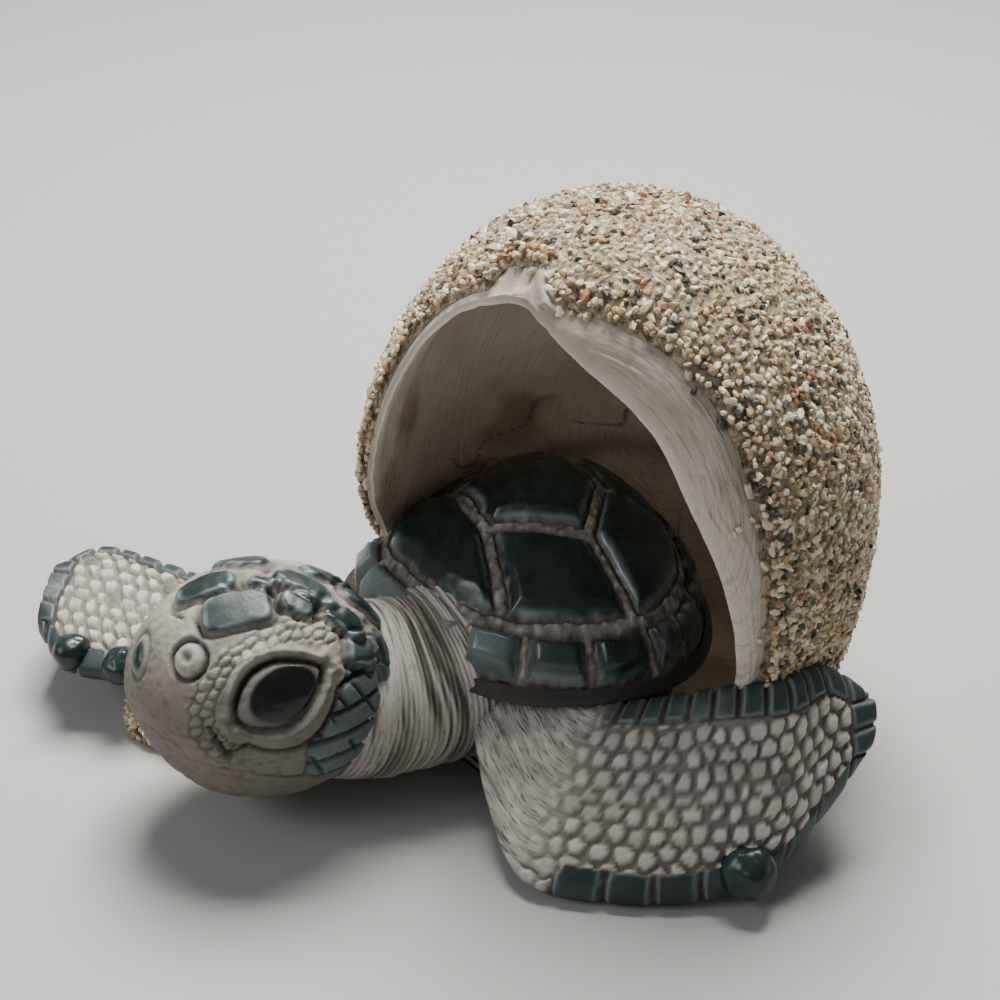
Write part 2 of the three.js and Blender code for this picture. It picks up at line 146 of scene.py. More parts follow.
# Half-angle of the opening by the turn round its axis: 0 is its top, the flap is on positive turns.
OPENING_EDGE = [
    (-180, 68), (-150, 80), (-125, 85), (-110, 81), (-97, 68), (-75, 57.5), (-35, 57),
    (-16, 54.5), (-2, 50), (30, 50.5), (62, 50), (95, 54), (130, 64), (180, 68),
]
LIP_SHARE = [(-180, 0.08), (-15, 0.08), (10, 0.7), (35, 1), (68, 1), (110, 0.4), (140, 0.08)]


def smooth(low, high, x):
    """0 below low, 1 above high and 3t² - 2t³ between them, t being the share of the way."""
    t = np.clip((x - low) / (high - low), 0, 1)
    return t * t * (3 - 2 * t)


def hump(x, width):
    """A bell: 1 at x = 0, and e to the power of minus (x / width) squared."""
    return np.exp(-((x / width) ** 2))


def unit(v):
    """Each vector divided by its length."""
    return v / np.linalg.norm(v, axis=-1, keepdims=True)


def mix(a, b, t):
    """a at t = 0, b at t = 1, in a straight line."""
    return a + (b - a) * t


def full_turn(count, whole=2 * np.pi):
    """Even steps of a whole turn as one row: the turn times each step's number over their count."""
    return whole * np.arange(count)[None] / count


def curve(pairs, x):
    """A value through (place, value) pairs: a cubic on each span, level at both ends, whose slope at
    a pair is that of the straight line between its two neighbours."""
    at, value = np.array(pairs, float).T
    slope = np.zeros(len(at))
    slope[1:-1] = (value[2:] - value[:-2]) / (at[2:] - at[:-2])
    x = np.clip(x, at[0], at[-1])
    i = np.clip(np.searchsorted(at, x, side="right") - 1, 0, len(at) - 2)
    span = at[i + 1] - at[i]
    t = (x - at[i]) / span
    a, b = value[i], value[i + 1]
    rise, fall = slope[i] * span, slope[i + 1] * span
    return a + t * rise + t**2 * (3 * (b - a) - 2 * rise - fall) + t**3 * (2 * (a - b) + rise + fall)


def lumps(points, pitch, seed):
    """A smooth random value from about -1 to 1: random numbers on a cubic lattice of that pitch,
    mixed over the eight corners round a point with weights 3t² - 2t³."""
    rng = np.random.default_rng(seed)
    shuffle = rng.permutation(1024)
    level = rng.uniform(-1, 1, 1024)
    q = np.asarray(points, float) / pitch + 100.5
    cell = np.floor(q).astype(int)
    t = q - cell
    t = t * t * (3 - 2 * t)
    total = np.zeros(q.shape[:-1])
    for corner in np.ndindex(2, 2, 2):
        c = cell + np.array(corner)
        index = shuffle[c[..., 0] % 1024]
        index = shuffle[(index + c[..., 1]) % 1024]
        index = shuffle[(index + c[..., 2]) % 1024]
        total += level[index] * np.prod(np.where(np.array(corner) == 1, t, 1 - t), axis=-1)
    return total


def rubble(points, pitch, seed):
    """Lumps at three sizes, each half as large and half as high as the one before."""
    return sum(lumps(points, pitch / 2**k, seed + k) / 2**k for k in range(3)) / 1.5


def compass(turn, tilt):
    """The unit direction that many degrees round from +X and above level."""
    a, e = np.radians(turn), np.radians(tilt)
    return np.stack([np.cos(e) * np.cos(a), np.cos(e) * np.sin(a), np.sin(e) + 0 * a], axis=-1)


OUT = compass(OPENING_TURN, OPENING_TILT)
UP = compass(OPENING_TURN, OPENING_TILT + 90)
ASIDE = np.cross(UP, OUT)


def egg_distance(way, grow):
    """From the heart to the egg's surface along a unit direction: an ellipsoid whose upper and
    lower half-heights differ, grown all round."""
    high = np.where(way[..., 2] > 0, EGG_HEIGHT - EGG_WAIST + grow, EGG_FOOT_DEPTH + grow)
    wide = EGG_RADIUS + grow
    return 1 / np.sqrt((way[..., 0] ** 2 + way[..., 1] ** 2) / wide**2 + way[..., 2] ** 2 / high**2)


def inner_distance(way, grow, thickness=WALL):
    """From the heart to the inside of a wall of that thickness, or to the flat floor below."""
    wall = egg_distance(way, grow - thickness)
    down = np.maximum(-way[..., 2], 1e-6)
    return np.where(way[..., 2] < 0, np.minimum(wall, (EGG_WAIST - FLOOR + grow) / down), wall)


def egg_way(turn, spread):
    """The direction at an angle, spread, from the opening's axis and turned round it: the axis times
    cos(spread), and the plane across it times sin(spread)."""
    a, s = np.radians(turn)[..., None], np.radians(spread)[..., None]
    return OUT * np.cos(s) + UP * np.sin(s) * np.cos(a) + ASIDE * np.sin(s) * np.sin(a)


def turn_and_spread(way):
    """The inverse of egg_way: the arc cosine of the share along the axis, and the arc tangent of the
    two shares across it."""
    spread = np.degrees(np.arccos(np.clip(way @ OUT, -1, 1)))
    return np.degrees(np.arctan2(way @ ASIDE, way @ UP)), spread


def torn_edge(turn):
    """The half-angle of the opening: its outline's curve plus small chips, which are rubble along the
    turn, five times as deep where the clay tore at the top."""
    edge = curve(OPENING_EDGE, turn)
    place = np.stack([turn / 3, turn * 0, turn * 0], axis=-1)
    torn = smooth(-26, -18, turn) * (1 - smooth(-6, 2, turn))
    return edge + (0.35 + 1.4 * torn) * rubble(place, 2.2, 5)


def bare_patch(turn):
    """1 where the clay is torn bare beside the opening's top, from 18 to 8 degrees before it."""
    return smooth(-22, -18, turn) * smooth(-6, -8, turn)


def tube_faces(rows, columns):
    """Triangles of a closed skin: rows × columns points, then one pole for each end."""
    row, col = np.meshgrid(np.arange(rows - 1), np.arange(columns), indexing="ij")
    a = row * columns + col
    b = row * columns + (col + 1) % columns
    sides = np.concatenate([
        np.stack([a, b, a + columns], axis=-1).reshape(-1, 3),
        np.stack([b, b + columns, a + columns], axis=-1).reshape(-1, 3),
    ])
    i = np.arange(columns)
    j = (i + 1) % columns
    last = (rows - 1) * columns
    first_cap = np.stack([j, i, 0 * i + rows * columns], axis=-1)
    last_cap = np.stack([last + i, last + j, 0 * i + rows * columns + 1], axis=-1)
    return np.concatenate([sides, first_cap, last_cap])


def make_piece(name, points, faces, paint, finish, node, rounded=True):
    """Puts points, in millimetres, and outward triangles into a mesh, shaded round or in flat
    facets, with one number at each point for every name in paint. A skin that comes out inside
    out is turned round."""
    a, b, c = (points[faces[:, k]] for k in range(3))
    if np.einsum("ij,ij->i", a, np.cross(b, c)).sum() < 0:
        faces = faces[:, ::-1]
    mesh = bpy.data.meshes.new(name)
    mesh.vertices.add(len(points))
    mesh.vertices.foreach_set("co", (points * MM).astype(np.float32).ravel())
    mesh.loops.add(faces.size)
    mesh.loops.foreach_set("vertex_index", np.ascontiguousarray(faces, np.int32).ravel())
    mesh.polygons.add(len(faces))
    mesh.polygons.foreach_set("loop_start", np.arange(0, faces.size, 3, dtype=np.int32))
    mesh.polygons.foreach_set("use_smooth", np.full(len(faces), rounded))
    mesh.update(calc_edges=True)
    for key, value in paint.items():
        layer = mesh.attributes.new(key, "FLOAT", "POINT")
        layer.data.foreach_set("value", np.asarray(value, np.float32).ravel())
    mesh.materials.append(finish)
    piece = bpy.data.objects.new(name, mesh)
    scene.collection.objects.link(piece)
    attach(piece, "root")
    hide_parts(node)


def make_skin(name, grid, paint, finish, node):
    """A closed skin over a rows × columns grid, its first and last rings shut by a point in their
    middle. The paint has one number, or one for each point of the grid, under each name."""
    ends = np.stack([grid[0].mean(0), grid[-1].mean(0)])
    points = np.concatenate([grid.reshape(-1, 3), ends])
    full = {}
    for key, value in paint.items():
        value = np.broadcast_to(value, grid.shape[:2])
        full[key] = np.concatenate([value.ravel(), [value[0].mean(), value[-1].mean()]])
    make_piece(name, points, tube_faces(*grid.shape[:2]), full, finish, node)


def node_group(name, inputs, outputs):
    """An empty shader group with named sockets: (name, kind, default) and (name, kind)."""
    group = bpy.data.node_groups.new(name, "ShaderNodeTree")
    for label, kind, default in inputs:
        socket = group.interface.new_socket(label, in_out="INPUT", socket_type=kind)
        socket.default_value = default
    for label, kind in outputs:
        group.interface.new_socket(label, in_out="OUTPUT", socket_type=kind)
    return group, group.nodes.new("NodeGroupInput"), group.nodes.new("NodeGroupOutput")


def noise_node(tree, scale, detail=4.0, roughness=0.6):
    """Blender's noise on Object coordinates, scale in repeats per metre."""
    at = tree.nodes.new("ShaderNodeTexCoord")
    noise = tree.nodes.new("ShaderNodeTexNoise")
    noise.inputs["Scale"].default_value = scale
    noise.inputs["Detail"].default_value = detail
    noise.inputs["Roughness"].default_value = roughness
    tree.links.new(at.outputs["Object"], noise.inputs["Vector"])
    return noise


def feed(tree, socket, value):
    """Links a socket to another one, or gives it a plain value."""
    if isinstance(value, bpy.types.NodeSocket):
        tree.links.new(value, socket)
    else:
        socket.default_value = value


def blend_node(tree, amount, first, second):
    """A colour mix: each of the three is a socket or a plain value."""
    node = tree.nodes.new("ShaderNodeMix")
    node.data_type = "RGBA"
    feed(tree, node.inputs[0], amount)
    feed(tree, node.inputs[6], first)
    feed(tree, node.inputs[7], second)
    return node.outputs[2]


def range_node(tree, value, low, high, out_low, out_high):
    """A number moved from one range to another and held inside it."""
    node = tree.nodes.new("ShaderNodeMapRange")
    node.inputs["From Min"].default_value = low
    node.inputs["From Max"].default_value = high
    node.inputs["To Min"].default_value = out_low
    node.inputs["To Max"].default_value = out_high
    tree.links.new(value, node.inputs["Value"])
    return node.outputs["Result"]


def painted(tree, key):
    """The number that the mesh carries at each point under that name."""
    node = tree.nodes.new("ShaderNodeAttribute")
    node.attribute_name = key
    return node.outputs["Fac"]


# Fired clay grain, used by every clay surface: fine pits, soft patches and small dark specks.
clay_grain, grain_in, grain_out = node_group(
    "clay grain",
    [("Light", "NodeSocketColor", BARE_LIGHT), ("Shade", "NodeSocketColor", BARE_SHADE),
     ("Speck", "NodeSocketColor", (0.16, 0.13, 0.1, 1))],
    [("Color", "NodeSocketColor"), ("Height", "NodeSocketFloat")],
)
patches = noise_node(clay_grain, 170, 5, 0.65)
pits = noise_node(clay_grain, 2600, 3, 0.7)
specks = noise_node(clay_grain, 1300, 2, 0.5)
patchy = range_node(clay_grain, patches.outputs["Fac"], 0.36, 0.66, 0, 1)
speckled = range_node(clay_grain, specks.outputs["Fac"], 0.66, 0.74, 0, 0.7)
tone = blend_node(clay_grain, patchy, grain_in.outputs["Light"], grain_in.outputs["Shade"])
tone = blend_node(clay_grain, speckled, tone, grain_in.outputs["Speck"])
clay_grain.links.new(tone, grain_out.inputs["Color"])
clay_grain.links.new(pits.outputs["Fac"], grain_out.inputs["Height"])

# Combed lines, used where a brush or a comb was drawn over wet clay: noise drawn out along the
# stroke, read from two numbers that the mesh carries, millimetres across and along the lines.
combed_lines, comb_in, comb_out = node_group(
    "combed lines",
    [(label, "NodeSocketFloat", 0.0) for label in ("Across", "Along", "Pitch")],
    [("Height", "NodeSocketFloat"), ("Dark", "NodeSocketFloat")],
)
comb_at = combed_lines.nodes.new("ShaderNodeCombineXYZ")
combed_lines.links.new(comb_in.outputs["Across"], comb_at.inputs["X"])
combed_lines.links.new(comb_in.outputs["Along"], comb_at.inputs["Y"])
comb_noise = combed_lines.nodes.new("ShaderNodeTexNoise")
comb_noise.inputs["Detail"].default_value = 2.0
comb_noise.inputs["Roughness"].default_value = 0.6
combed_lines.links.new(comb_at.outputs["Vector"], comb_noise.inputs["Vector"])
combed_lines.links.new(comb_in.outputs["Pitch"], comb_noise.inputs["Scale"])
combed_lines.links.new(comb_noise.outputs["Fac"], comb_out.inputs["Height"])
# The Dark output is painted shade, darkest in the grooves where the noise and the bump are low.
comb_groove_shade = range_node(combed_lines, comb_noise.outputs["Fac"], 0.46, 0.34, 0, 1)
combed_lines.links.new(comb_groove_shade, comb_out.inputs["Dark"])


def combed_by(tree, pitch):
    """The combed-lines group reading this mesh's own across and along numbers."""
    node = tree.nodes.new("ShaderNodeGroup")
    node.node_tree = combed_lines
    node.inputs["Pitch"].default_value = pitch
    tree.links.new(painted(tree, "across"), node.inputs["Across"])
    tree.links.new(painted(tree, "along"), node.inputs["Along"])
    return node


def clay_by(tree, light, shade):
    """The clay-grain group with this clay's two tones."""
    node = tree.nodes.new("ShaderNodeGroup")
    node.node_tree = clay_grain
    node.inputs["Light"].default_value = light
    node.inputs["Shade"].default_value = shade
    return node


def times(tree, first, second):
    """The product of two number sockets or values."""
    node = tree.nodes.new("ShaderNodeMath")
    node.operation = "MULTIPLY"
    feed(tree, node.inputs[0], first)
    feed(tree, node.inputs[1], second)
    return node.outputs[0]


def layered(tree, tone, *coats):
    """Colours laid over a tone in turn, each as thick as the mesh's number of that name, or as a
    socket says."""
    for amount, colour in coats:
        if isinstance(amount, str):
            amount = painted(tree, amount)
        tone = blend_node(tree, amount, tone, colour)
    return tone


def add_bumps(tree, shader, *layers):
    """Heights from 0 to 1, each with its strength and its depth in metres, as one bumped normal."""
    below = None
    for height, strength, depth in layers:
        bump = tree.nodes.new("ShaderNodeBump")
        bump.inputs["Strength"].default_value = strength
        bump.inputs["Distance"].default_value = depth
        tree.links.new(height, bump.inputs["Height"])
        if below is not None:
            tree.links.new(below, bump.inputs["Normal"])
        below = bump.outputs["Normal"]
    tree.links.new(below, shader.inputs["Normal"])


egg_finish, tree, shader = new_finish("bare egg clay")
grain = clay_by(tree, BARE_LIGHT, BARE_SHADE)
brushed = combed_by(tree, BRUSH_LINES)
line_shade = times(tree, brushed.outputs["Dark"], painted(tree, "combed"))
cloudy = noise_node(tree, 90, 5, 0.6)
inner_tone = blend_node(tree, range_node(tree, cloudy.outputs["Fac"], 0.35, 0.65, 0, 1),
                        INNER_LIGHT, INNER_SHADE)
tone = layered(
    tree, grain.outputs["Color"], ("inside", inner_tone), ("stain", RUST_STAIN), ("chalk_and_painted_light", CHALK_AND_PAINTED_LIGHT),
    (times(tree, line_shade, 0.35), BRUSH_SHADE), ("slip_and_shade", DARK_SLIP),
)
tree.links.new(tone, shader.inputs["Base Color"])
shader.inputs["Roughness"].default_value = 0.82
shader.inputs["Specular IOR Level"].default_value = 0.3
line_height = times(tree, brushed.outputs["Height"], painted(tree, "combed"))
add_bumps(tree, shader, (grain.outputs["Height"], 1.0, 0.00005), (line_height, 1.0, 0.0005))

turn = full_turn(EGG_COLUMNS, 360) - 180
edge = torn_edge(turn)
share = curve(LIP_SHARE, turn)
outer_row = 1 - (1 - np.linspace(0, 1, EGG_OUTER_ROWS)[:, None]) ** 2.2
outer_spread = mix(179, edge, outer_row)
outer_way = egg_way(turn + 0 * outer_row, outer_spread)
# A ridge runs up the egg from the top of the flap, beside a patch where the clay is only torn.
past_edge = outer_spread - edge
ridge = hump(turn - RIDGE_TURN + 3 * smooth(0, 4, past_edge), RIDGE_WIDE) * smooth(8.5, 6.0, past_edge)
torn_patch = bare_patch(turn) * smooth(7, 4, past_edge)
outer_lift = 1.0 * ridge + torn_patch * (0.45 * rubble(outer_way * 25, 1.2, 33) - 0.15)
outer = HEART + outer_way * (egg_distance(outer_way, 0) + outer_lift)[..., None]

lip_row = np.linspace(0, 1, EGG_LIP_ROWS + 1)[1:, None]
bend = lip_row * np.pi / 2
lip_spread = edge - LIP_ROLL * share * np.sin(bend)
lip_way = egg_way(turn + 0 * lip_row, lip_spread)
lip_depth = mix(BROKEN_EDGE, LIP_DROP, share) * (1 - np.cos(bend))
run = 6 * lip_row + 0.05 * turn
combed = np.stack([run + 0.4 * lumps(lip_way * 25, 4, 23), 0.04 * turn + 0 * run, 0 * run], axis=-1)
brush = lumps(combed, 0.42, 21) + 0.7 * lumps(combed, 0.9, 22)
rough_lip = rubble(lip_way * 25, 1.1, 31) * (0.32 - 0.24 * smooth(0, 30, turn))
stroke_depth = BRUSH_DEPTH * smooth(0.02, 0.15, lip_row) * smooth(-4, 12, turn)
lip_drop = lip_depth - stroke_depth * brush - 0.4 * rough_lip
lip = HEART + lip_way * (egg_distance(lip_way, 0) - np.maximum(lip_drop, 0))[..., None]

inner_row = np.linspace(0, 1, EGG_INNER_ROWS)[:, None] ** 0.9
inner_spread = mix(edge + 2, 179, inner_row)
inner_way = egg_way(turn + 0 * inner_row, inner_spread)
full_wall = np.maximum(share, smooth(0, THICKENING, inner_spread - edge))
hollow = 0.12 * rubble(inner_way * 25, 3.0, 41) + 0.04 * rubble(inner_way * 25, 0.8, 44)
inner_reach = inner_distance(inner_way, 0, mix(RIM_WALL, WALL, full_wall)) + hollow * full_wall
inner = HEART + inner_way * inner_reach[..., None]

egg_grid = np.concatenate([outer, lip, inner])
egg_grid[..., 2] = np.maximum(egg_grid[..., 2], 0)
rows_out, rows_lip, rows_in = len(outer), len(lip), len(inner)
is_inner = np.concatenate([np.zeros(rows_out), np.linspace(0, 1, rows_lip) ** 6, np.ones(rows_in)])[:, None]
is_lip = np.concatenate([np.linspace(0, 1, rows_out) ** 8, np.ones(rows_lip), np.zeros(rows_in)])[:, None]
flap = is_lip * smooth(0, 25, turn)
ring_low = hump(egg_grid[..., 2] - RING_HEIGHT - 1.2 * lumps(egg_grid, 6, 51), 1.6)
scratch_way = egg_grid * np.array([0.6, 0.6, 1.5])
scratches = hump(lumps(scratch_way, 3.1, 52), 0.04) * smooth(0, 0.4, lumps(egg_grid, 5, 53))
scratches *= hump(egg_grid[..., 2] - SCRATCH_HEIGHT, 6)
egg_wash = is_inner * np.clip(0.45 * ring_low + 0.8 * scratches, 0, 0.9)
at_turn, at_spread = turn_and_spread(unit(egg_grid - HEART))
swirl = at_spread + 1.5 * lumps(egg_grid, 9, 56)
thin_edge = smooth(0.45, 0.8, lip_row) * smooth(-14, -24, turn)
inside_amount = is_inner + 0 * turn
lip_rows = slice(rows_out, rows_out + rows_lip)
inside_amount[lip_rows] = np.maximum(inside_amount[lip_rows], thin_edge)
egg_paint = {
    "across": MM_PER_DEGREE * at_spread + 0.03 * at_turn * np.sin(np.radians(at_spread)),
    "along": 0.10 * np.radians(at_turn) * 19 + 0.01 * swirl,
    "combed": np.clip(flap * 0.9 + 0.55 * is_inner, 0, 1),
    "inside": inside_amount,
    "stain": is_inner * 0.6 * smooth(0.15, 0.6, rubble(egg_grid, 7, 54)),
    "slip_and_shade": egg_wash,
    # Pale chalk on the flap and the thin lip, and painted light on the inner wall behind the flap, where
    # shade falls.
    "chalk_and_painted_light": np.clip(flap * (0.25 + 0.25 * smooth(60, 85, turn)) + 0.7 * is_lip * (1 - inside_amount)
                     * smooth(-10, -25, turn) + 0.9 * is_inner * smooth(30, 60, turn)
                     * smooth(60, 20, at_spread - edge), 0, 1),
}
make_skin("egg_clay", egg_grid, egg_paint, egg_finish, "egg_shell")

# Sand coat: coarse beach sand glued over the whole outside of the egg, one grain deep on a thin
# skin of glue and dust, thinning out to single grains at the break.
SAND_LIFT = 0.45
GRAIN_PITCH = 0.69
GRAIN_MIDDLE = 0.365
GRAIN_SEAT = 0.92
STRAY_SHARE = 0.03
SAND_EDGE = 1.5
BARE_DEPTH = 5.0
SKIN_COLUMNS = 200
SKIN_ROWS = 60
GOLDEN_ANGLE = 137.50776
SIZE_SPREAD = 0.22
EGG_AREA = 4 * np.pi * 26 * 31
GRAIN_COLOURS = [
    (0.0, (0.012, 0.011, 0.010)), (0.075, (0.035, 0.030, 0.026)), (0.10, (0.13, 0.115, 0.10)),
    (0.15, (0.26, 0.115, 0.042)), (0.22, (0.42, 0.23, 0.10)), (0.34, (0.48, 0.36, 0.205)),
    (0.56, (0.60, 0.48, 0.295)), (0.80, (0.72, 0.61, 0.415)), (1.0, (0.82, 0.76, 0.61)),
]
GRAIN_DUST = (0.50, 0.40, 0.27, 1)
GLUE_DARK = (0.13, 0.095, 0.06, 1)
GLUE_LIGHT = (0.50, 0.40, 0.26, 1)

# A rounded pebble of 20 faces: the corners of an icosahedron.
GOLD = (1 + 5**0.5) / 2
PEBBLE = np.array([
    (-1, GOLD, 0), (1, GOLD, 0), (-1, -GOLD, 0), (1, -GOLD, 0), (0, -1, GOLD), (0, 1, GOLD),
    (0, -1, -GOLD), (0, 1, -GOLD), (GOLD, 0, -1), (GOLD, 0, 1), (-GOLD, 0, -1), (-GOLD, 0, 1),
]) / np.hypot(1, GOLD)
PEBBLE_FACES = np.array([
    (0, 11, 5), (0, 5, 1), (0, 1, 7), (0, 7, 10), (0, 10, 11), (1, 5, 9), (5, 11, 4), (11, 10, 2),
    (10, 7, 6), (7, 1, 8), (3, 9, 4), (3, 4, 2), (3, 2, 6), (3, 6, 8), (3, 8, 9), (4, 9, 5),
    (2, 4, 11), (6, 2, 10), (8, 6, 7), (9, 8, 1),
])


def scattered_grains(places, out, radii, seed):
    """A pebble at each place: its corners pushed in or out at random, stretched along random axes
    and turned by a random matrix whose third axis leans to the outward direction."""
    rng = np.random.default_rng(seed)
    count = len(places)
    third = unit(out + 0.5 * rng.normal(size=(count, 3)))
    first = unit(np.cross(third, rng.normal(size=(count, 3))))
    second = np.cross(third, first)
    stretch = radii[:, None] * rng.uniform([0.85, 0.7, 0.55], [1.6, 1.15, 0.95], (count, 3))
    corners = PEBBLE * rng.uniform(0.62, 1.3, (count, 12, 1)) * stretch[:, None, :]
    points = (corners[..., 0:1] * first[:, None] + corners[..., 1:2] * second[:, None]
              + corners[..., 2:3] * third[:, None] + places[:, None])
    faces = (PEBBLE_FACES[None] + 12 * np.arange(count)[:, None, None]).reshape(-1, 3)
    return points.reshape(-1, 3), faces, np.repeat(rng.uniform(0, 1, count), 12)


sand_finish, tree, shader = new_finish("beach sand grains")
kinds = tree.nodes.new("ShaderNodeValToRGB")
while len(kinds.color_ramp.elements) < len(GRAIN_COLOURS):
    kinds.color_ramp.elements.new(0.5)
for stop, (at, colour) in zip(kinds.color_ramp.elements, GRAIN_COLOURS):
    stop.position = at
    stop.color = (*colour, 1)
tree.links.new(painted(tree, "grain"), kinds.inputs["Fac"])
mottle = noise_node(tree, 3200, 3)
dusty = range_node(tree, mottle.outputs["Fac"], 0.42, 0.72, 0, 0.35)
tone = blend_node(tree, dusty, kinds.outputs["Color"], GRAIN_DUST)
tree.links.new(tone, shader.inputs["Base Color"])
gloss = range_node(tree, mottle.outputs["Fac"], 0.3, 0.7, 0.3, 0.65)
tree.links.new(gloss, shader.inputs["Roughness"])
add_bumps(tree, shader, (mottle.outputs["Fac"], 0.4, 0.00008))

glue_finish, tree, shader = new_finish("sandy glue skin")
grit = noise_node(tree, 1500, 4, 0.7)
gritty = range_node(tree, grit.outputs["Fac"], 0.38, 0.62, 0, 1)
tone = blend_node(tree, gritty, GLUE_DARK, GLUE_LIGHT)
tree.links.new(tone, shader.inputs["Base Color"])
shader.inputs["Roughness"].default_value = 0.9
add_bumps(tree, shader, (grit.outputs["Fac"], 0.8, 0.0003))

turn = full_turn(SKIN_COLUMNS, 360) - 180
row = np.linspace(0, 1, SKIN_ROWS)[:, None]
skin_edge = torn_edge(turn) + SAND_EDGE + BARE_DEPTH * bare_patch(turn)
under_way = egg_way(turn + 0 * row, mix(179, skin_edge, row))
under = HEART + under_way * egg_distance(under_way, 0.04)[..., None]
over_way = egg_way(turn + 0 * row, mix(skin_edge, 179, row))
thick = 0.62 * smooth(0, 0.04, row) + 0.14 * rubble(over_way * 25, 1.2, 61)
thick += 0.24 * smooth(0, 0.06, row)
over = HEART + over_way * (egg_distance(over_way, 0.06) + thick)[..., None]
skin_grid = np.concatenate([under, over])
skin_grid[..., 2] = np.maximum(skin_grid[..., 2], SAND_LIFT)
make_skin("sand_skin", skin_grid, {}, glue_finish, "sand_coat")

rng = np.random.default_rng(7)
grain_count = int(EGG_AREA / GRAIN_PITCH**2)
k = np.arange(grain_count)
tilt = np.degrees(np.arcsin(1 - 2 * (k + 0.5) / grain_count))
ways = compass(k * GOLDEN_ANGLE + rng.normal(0, 0.5, grain_count), tilt + rng.normal(0, 0.5, grain_count))
grain_turn, grain_spread = turn_and_spread(ways)
beyond = grain_spread - torn_edge(grain_turn)
beyond -= BARE_DEPTH * bare_patch(grain_turn)
dense = smooth(0.0, 2.4, beyond + 1.1 * lumps(ways * 25, 1.6, 62))
stray = STRAY_SHARE * smooth(-6, -1, beyond) * smooth(5, 30, grain_turn)
radii = GRAIN_MIDDLE * np.clip(rng.lognormal(0, SIZE_SPREAD, grain_count), 0.6, 1.5)
on_clay = beyond < SAND_EDGE
lift = np.where(on_clay, 0.15 - mix(BROKEN_EDGE, LIP_DROP, curve(LIP_SHARE, grain_turn))
                * (1 - np.cos(np.arcsin(np.clip(-beyond / LIP_ROLL, 0, 1)))), GRAIN_SEAT)
seats = HEART + ways * (egg_distance(ways, 0) + lift)[:, None]
kept = (rng.uniform(size=grain_count) < np.maximum(dense, stray)) & (seats[:, 2] > SAND_LIFT + 0.5)
kept &= ~(on_clay & (grain_turn < -20) & (beyond < 0))
order = np.flatnonzero(kept)
for part, chosen in enumerate((order[::2], order[1::2])):
    points, faces, grain_tint = scattered_grains(seats[chosen], ways[chosen], radii[chosen], 70 + part)
    points[:, 2] = np.maximum(points[:, 2], SAND_LIFT)
    make_piece(f"sand_grains_{part + 1}", points, faces, {"grain": grain_tint}, sand_finish,
               "sand_coat", rounded=False)

# Carapace and trunk: one solid of pressed clay. Raised scutes carry a thick dark teal glaze, pale
# just inside their edges and with a painted highlight on the front marginals; the seams between
# them stay bare and rough, dark in their corners with painted shade, as is the rim's underside.
SHELL_LEFT_HALF = 23.0
SHELL_RIGHT_HALF = 17.0
SHELL_FRONT_HALF = 22.4
SHELL_BACK_HALF = 14.0
SHELL_CORNER = 2.6
SHELL_RIM = 14.0
MARGIN_RISE = 6.0
SHELL_RISE = 7.3
SHELL_EDGE = 2.4
SHELL_TURN = 11.5
SHELL_MIDDLE = (-7.1, -1.7)
BELLY = 0.8
MARGIN = 0.78
MARGIN_STEP = 19
NUCHAL_HALF = 15
CREST = -1.1
FRONT_SEAM = -9.5
VERTEBRAL_HALF = 4.0
VERTEBRAL_LENGTH = 13.0
LATERAL = 10.2
LATERAL_SHARE = 0.64
SEAM_HALF = 0.5
SCUTE_STEP = 0.85
MARGIN_STEP_UP = 0.3
SHELL_COLUMNS = 440
SHELL_TOP_ROWS = 130
TURTLE_LIGHT = (0.37, 0.33, 0.285, 1)
TURTLE_SHADE = (0.20, 0.17, 0.145, 1)
PALE_CLAY = (0.60, 0.57, 0.50, 1)
DUST_AND_SHADE = (0.185, 0.155, 0.125, 1)
DEEP_GLAZE = (0.0025, 0.0105, 0.0092, 1)
DEEP_CLOUD = (0.010, 0.031, 0.028, 1)
SLATE_GLAZE = (0.022, 0.040, 0.043, 1)
SLATE_CLOUD = (0.070, 0.098, 0.102, 1)
PALE_GLAZE = (0.25, 0.31, 0.315, 1)
COMB_SHADE = (0.055, 0.044, 0.036, 1)
CUT_SLIP_AND_SHADE = (0.022, 0.018, 0.015, 1)
PUPIL_BLACK = (0.002, 0.002, 0.002, 1)
COMB_LINES = 4.2
GLOSSY = (0.15, 0.36)
MATT = 0.78


def shell_seams():
    """The seams of the left half as lines (across, along, across, along) from the crest outwards: each
    row of scutes repeats a zigzag, one scute's length further back."""
    seams = [(VERTEBRAL_HALF, FRONT_SEAM, 0.55 * SHELL_LEFT_HALF, FRONT_SEAM - 2.4)]
    for i in range(3):
        along = FRONT_SEAM + i * VERTEBRAL_LENGTH
        side = along + LATERAL_SHARE * VERTEBRAL_LENGTH
        seams.append((0, along, VERTEBRAL_HALF, along))
        seams.append((VERTEBRAL_HALF, along, LATERAL, side))
        seams.append((LATERAL, side, VERTEBRAL_HALF, along + VERTEBRAL_LENGTH))
        seams.append((LATERAL, side, SHELL_LEFT_HALF, side + 1))
    return seams


def to_segment(x, y, segment):
    """Distance of each place from a straight segment."""
    ax, ay, bx, by = segment
    t = np.clip(((x - ax) * (bx - ax) + (y - ay) * (by - ay)) / ((bx - ax) ** 2 + (by - ay) ** 2), 0, 1)
    return np.hypot(x - ax - t * (bx - ax), y - ay - t * (by - ay))


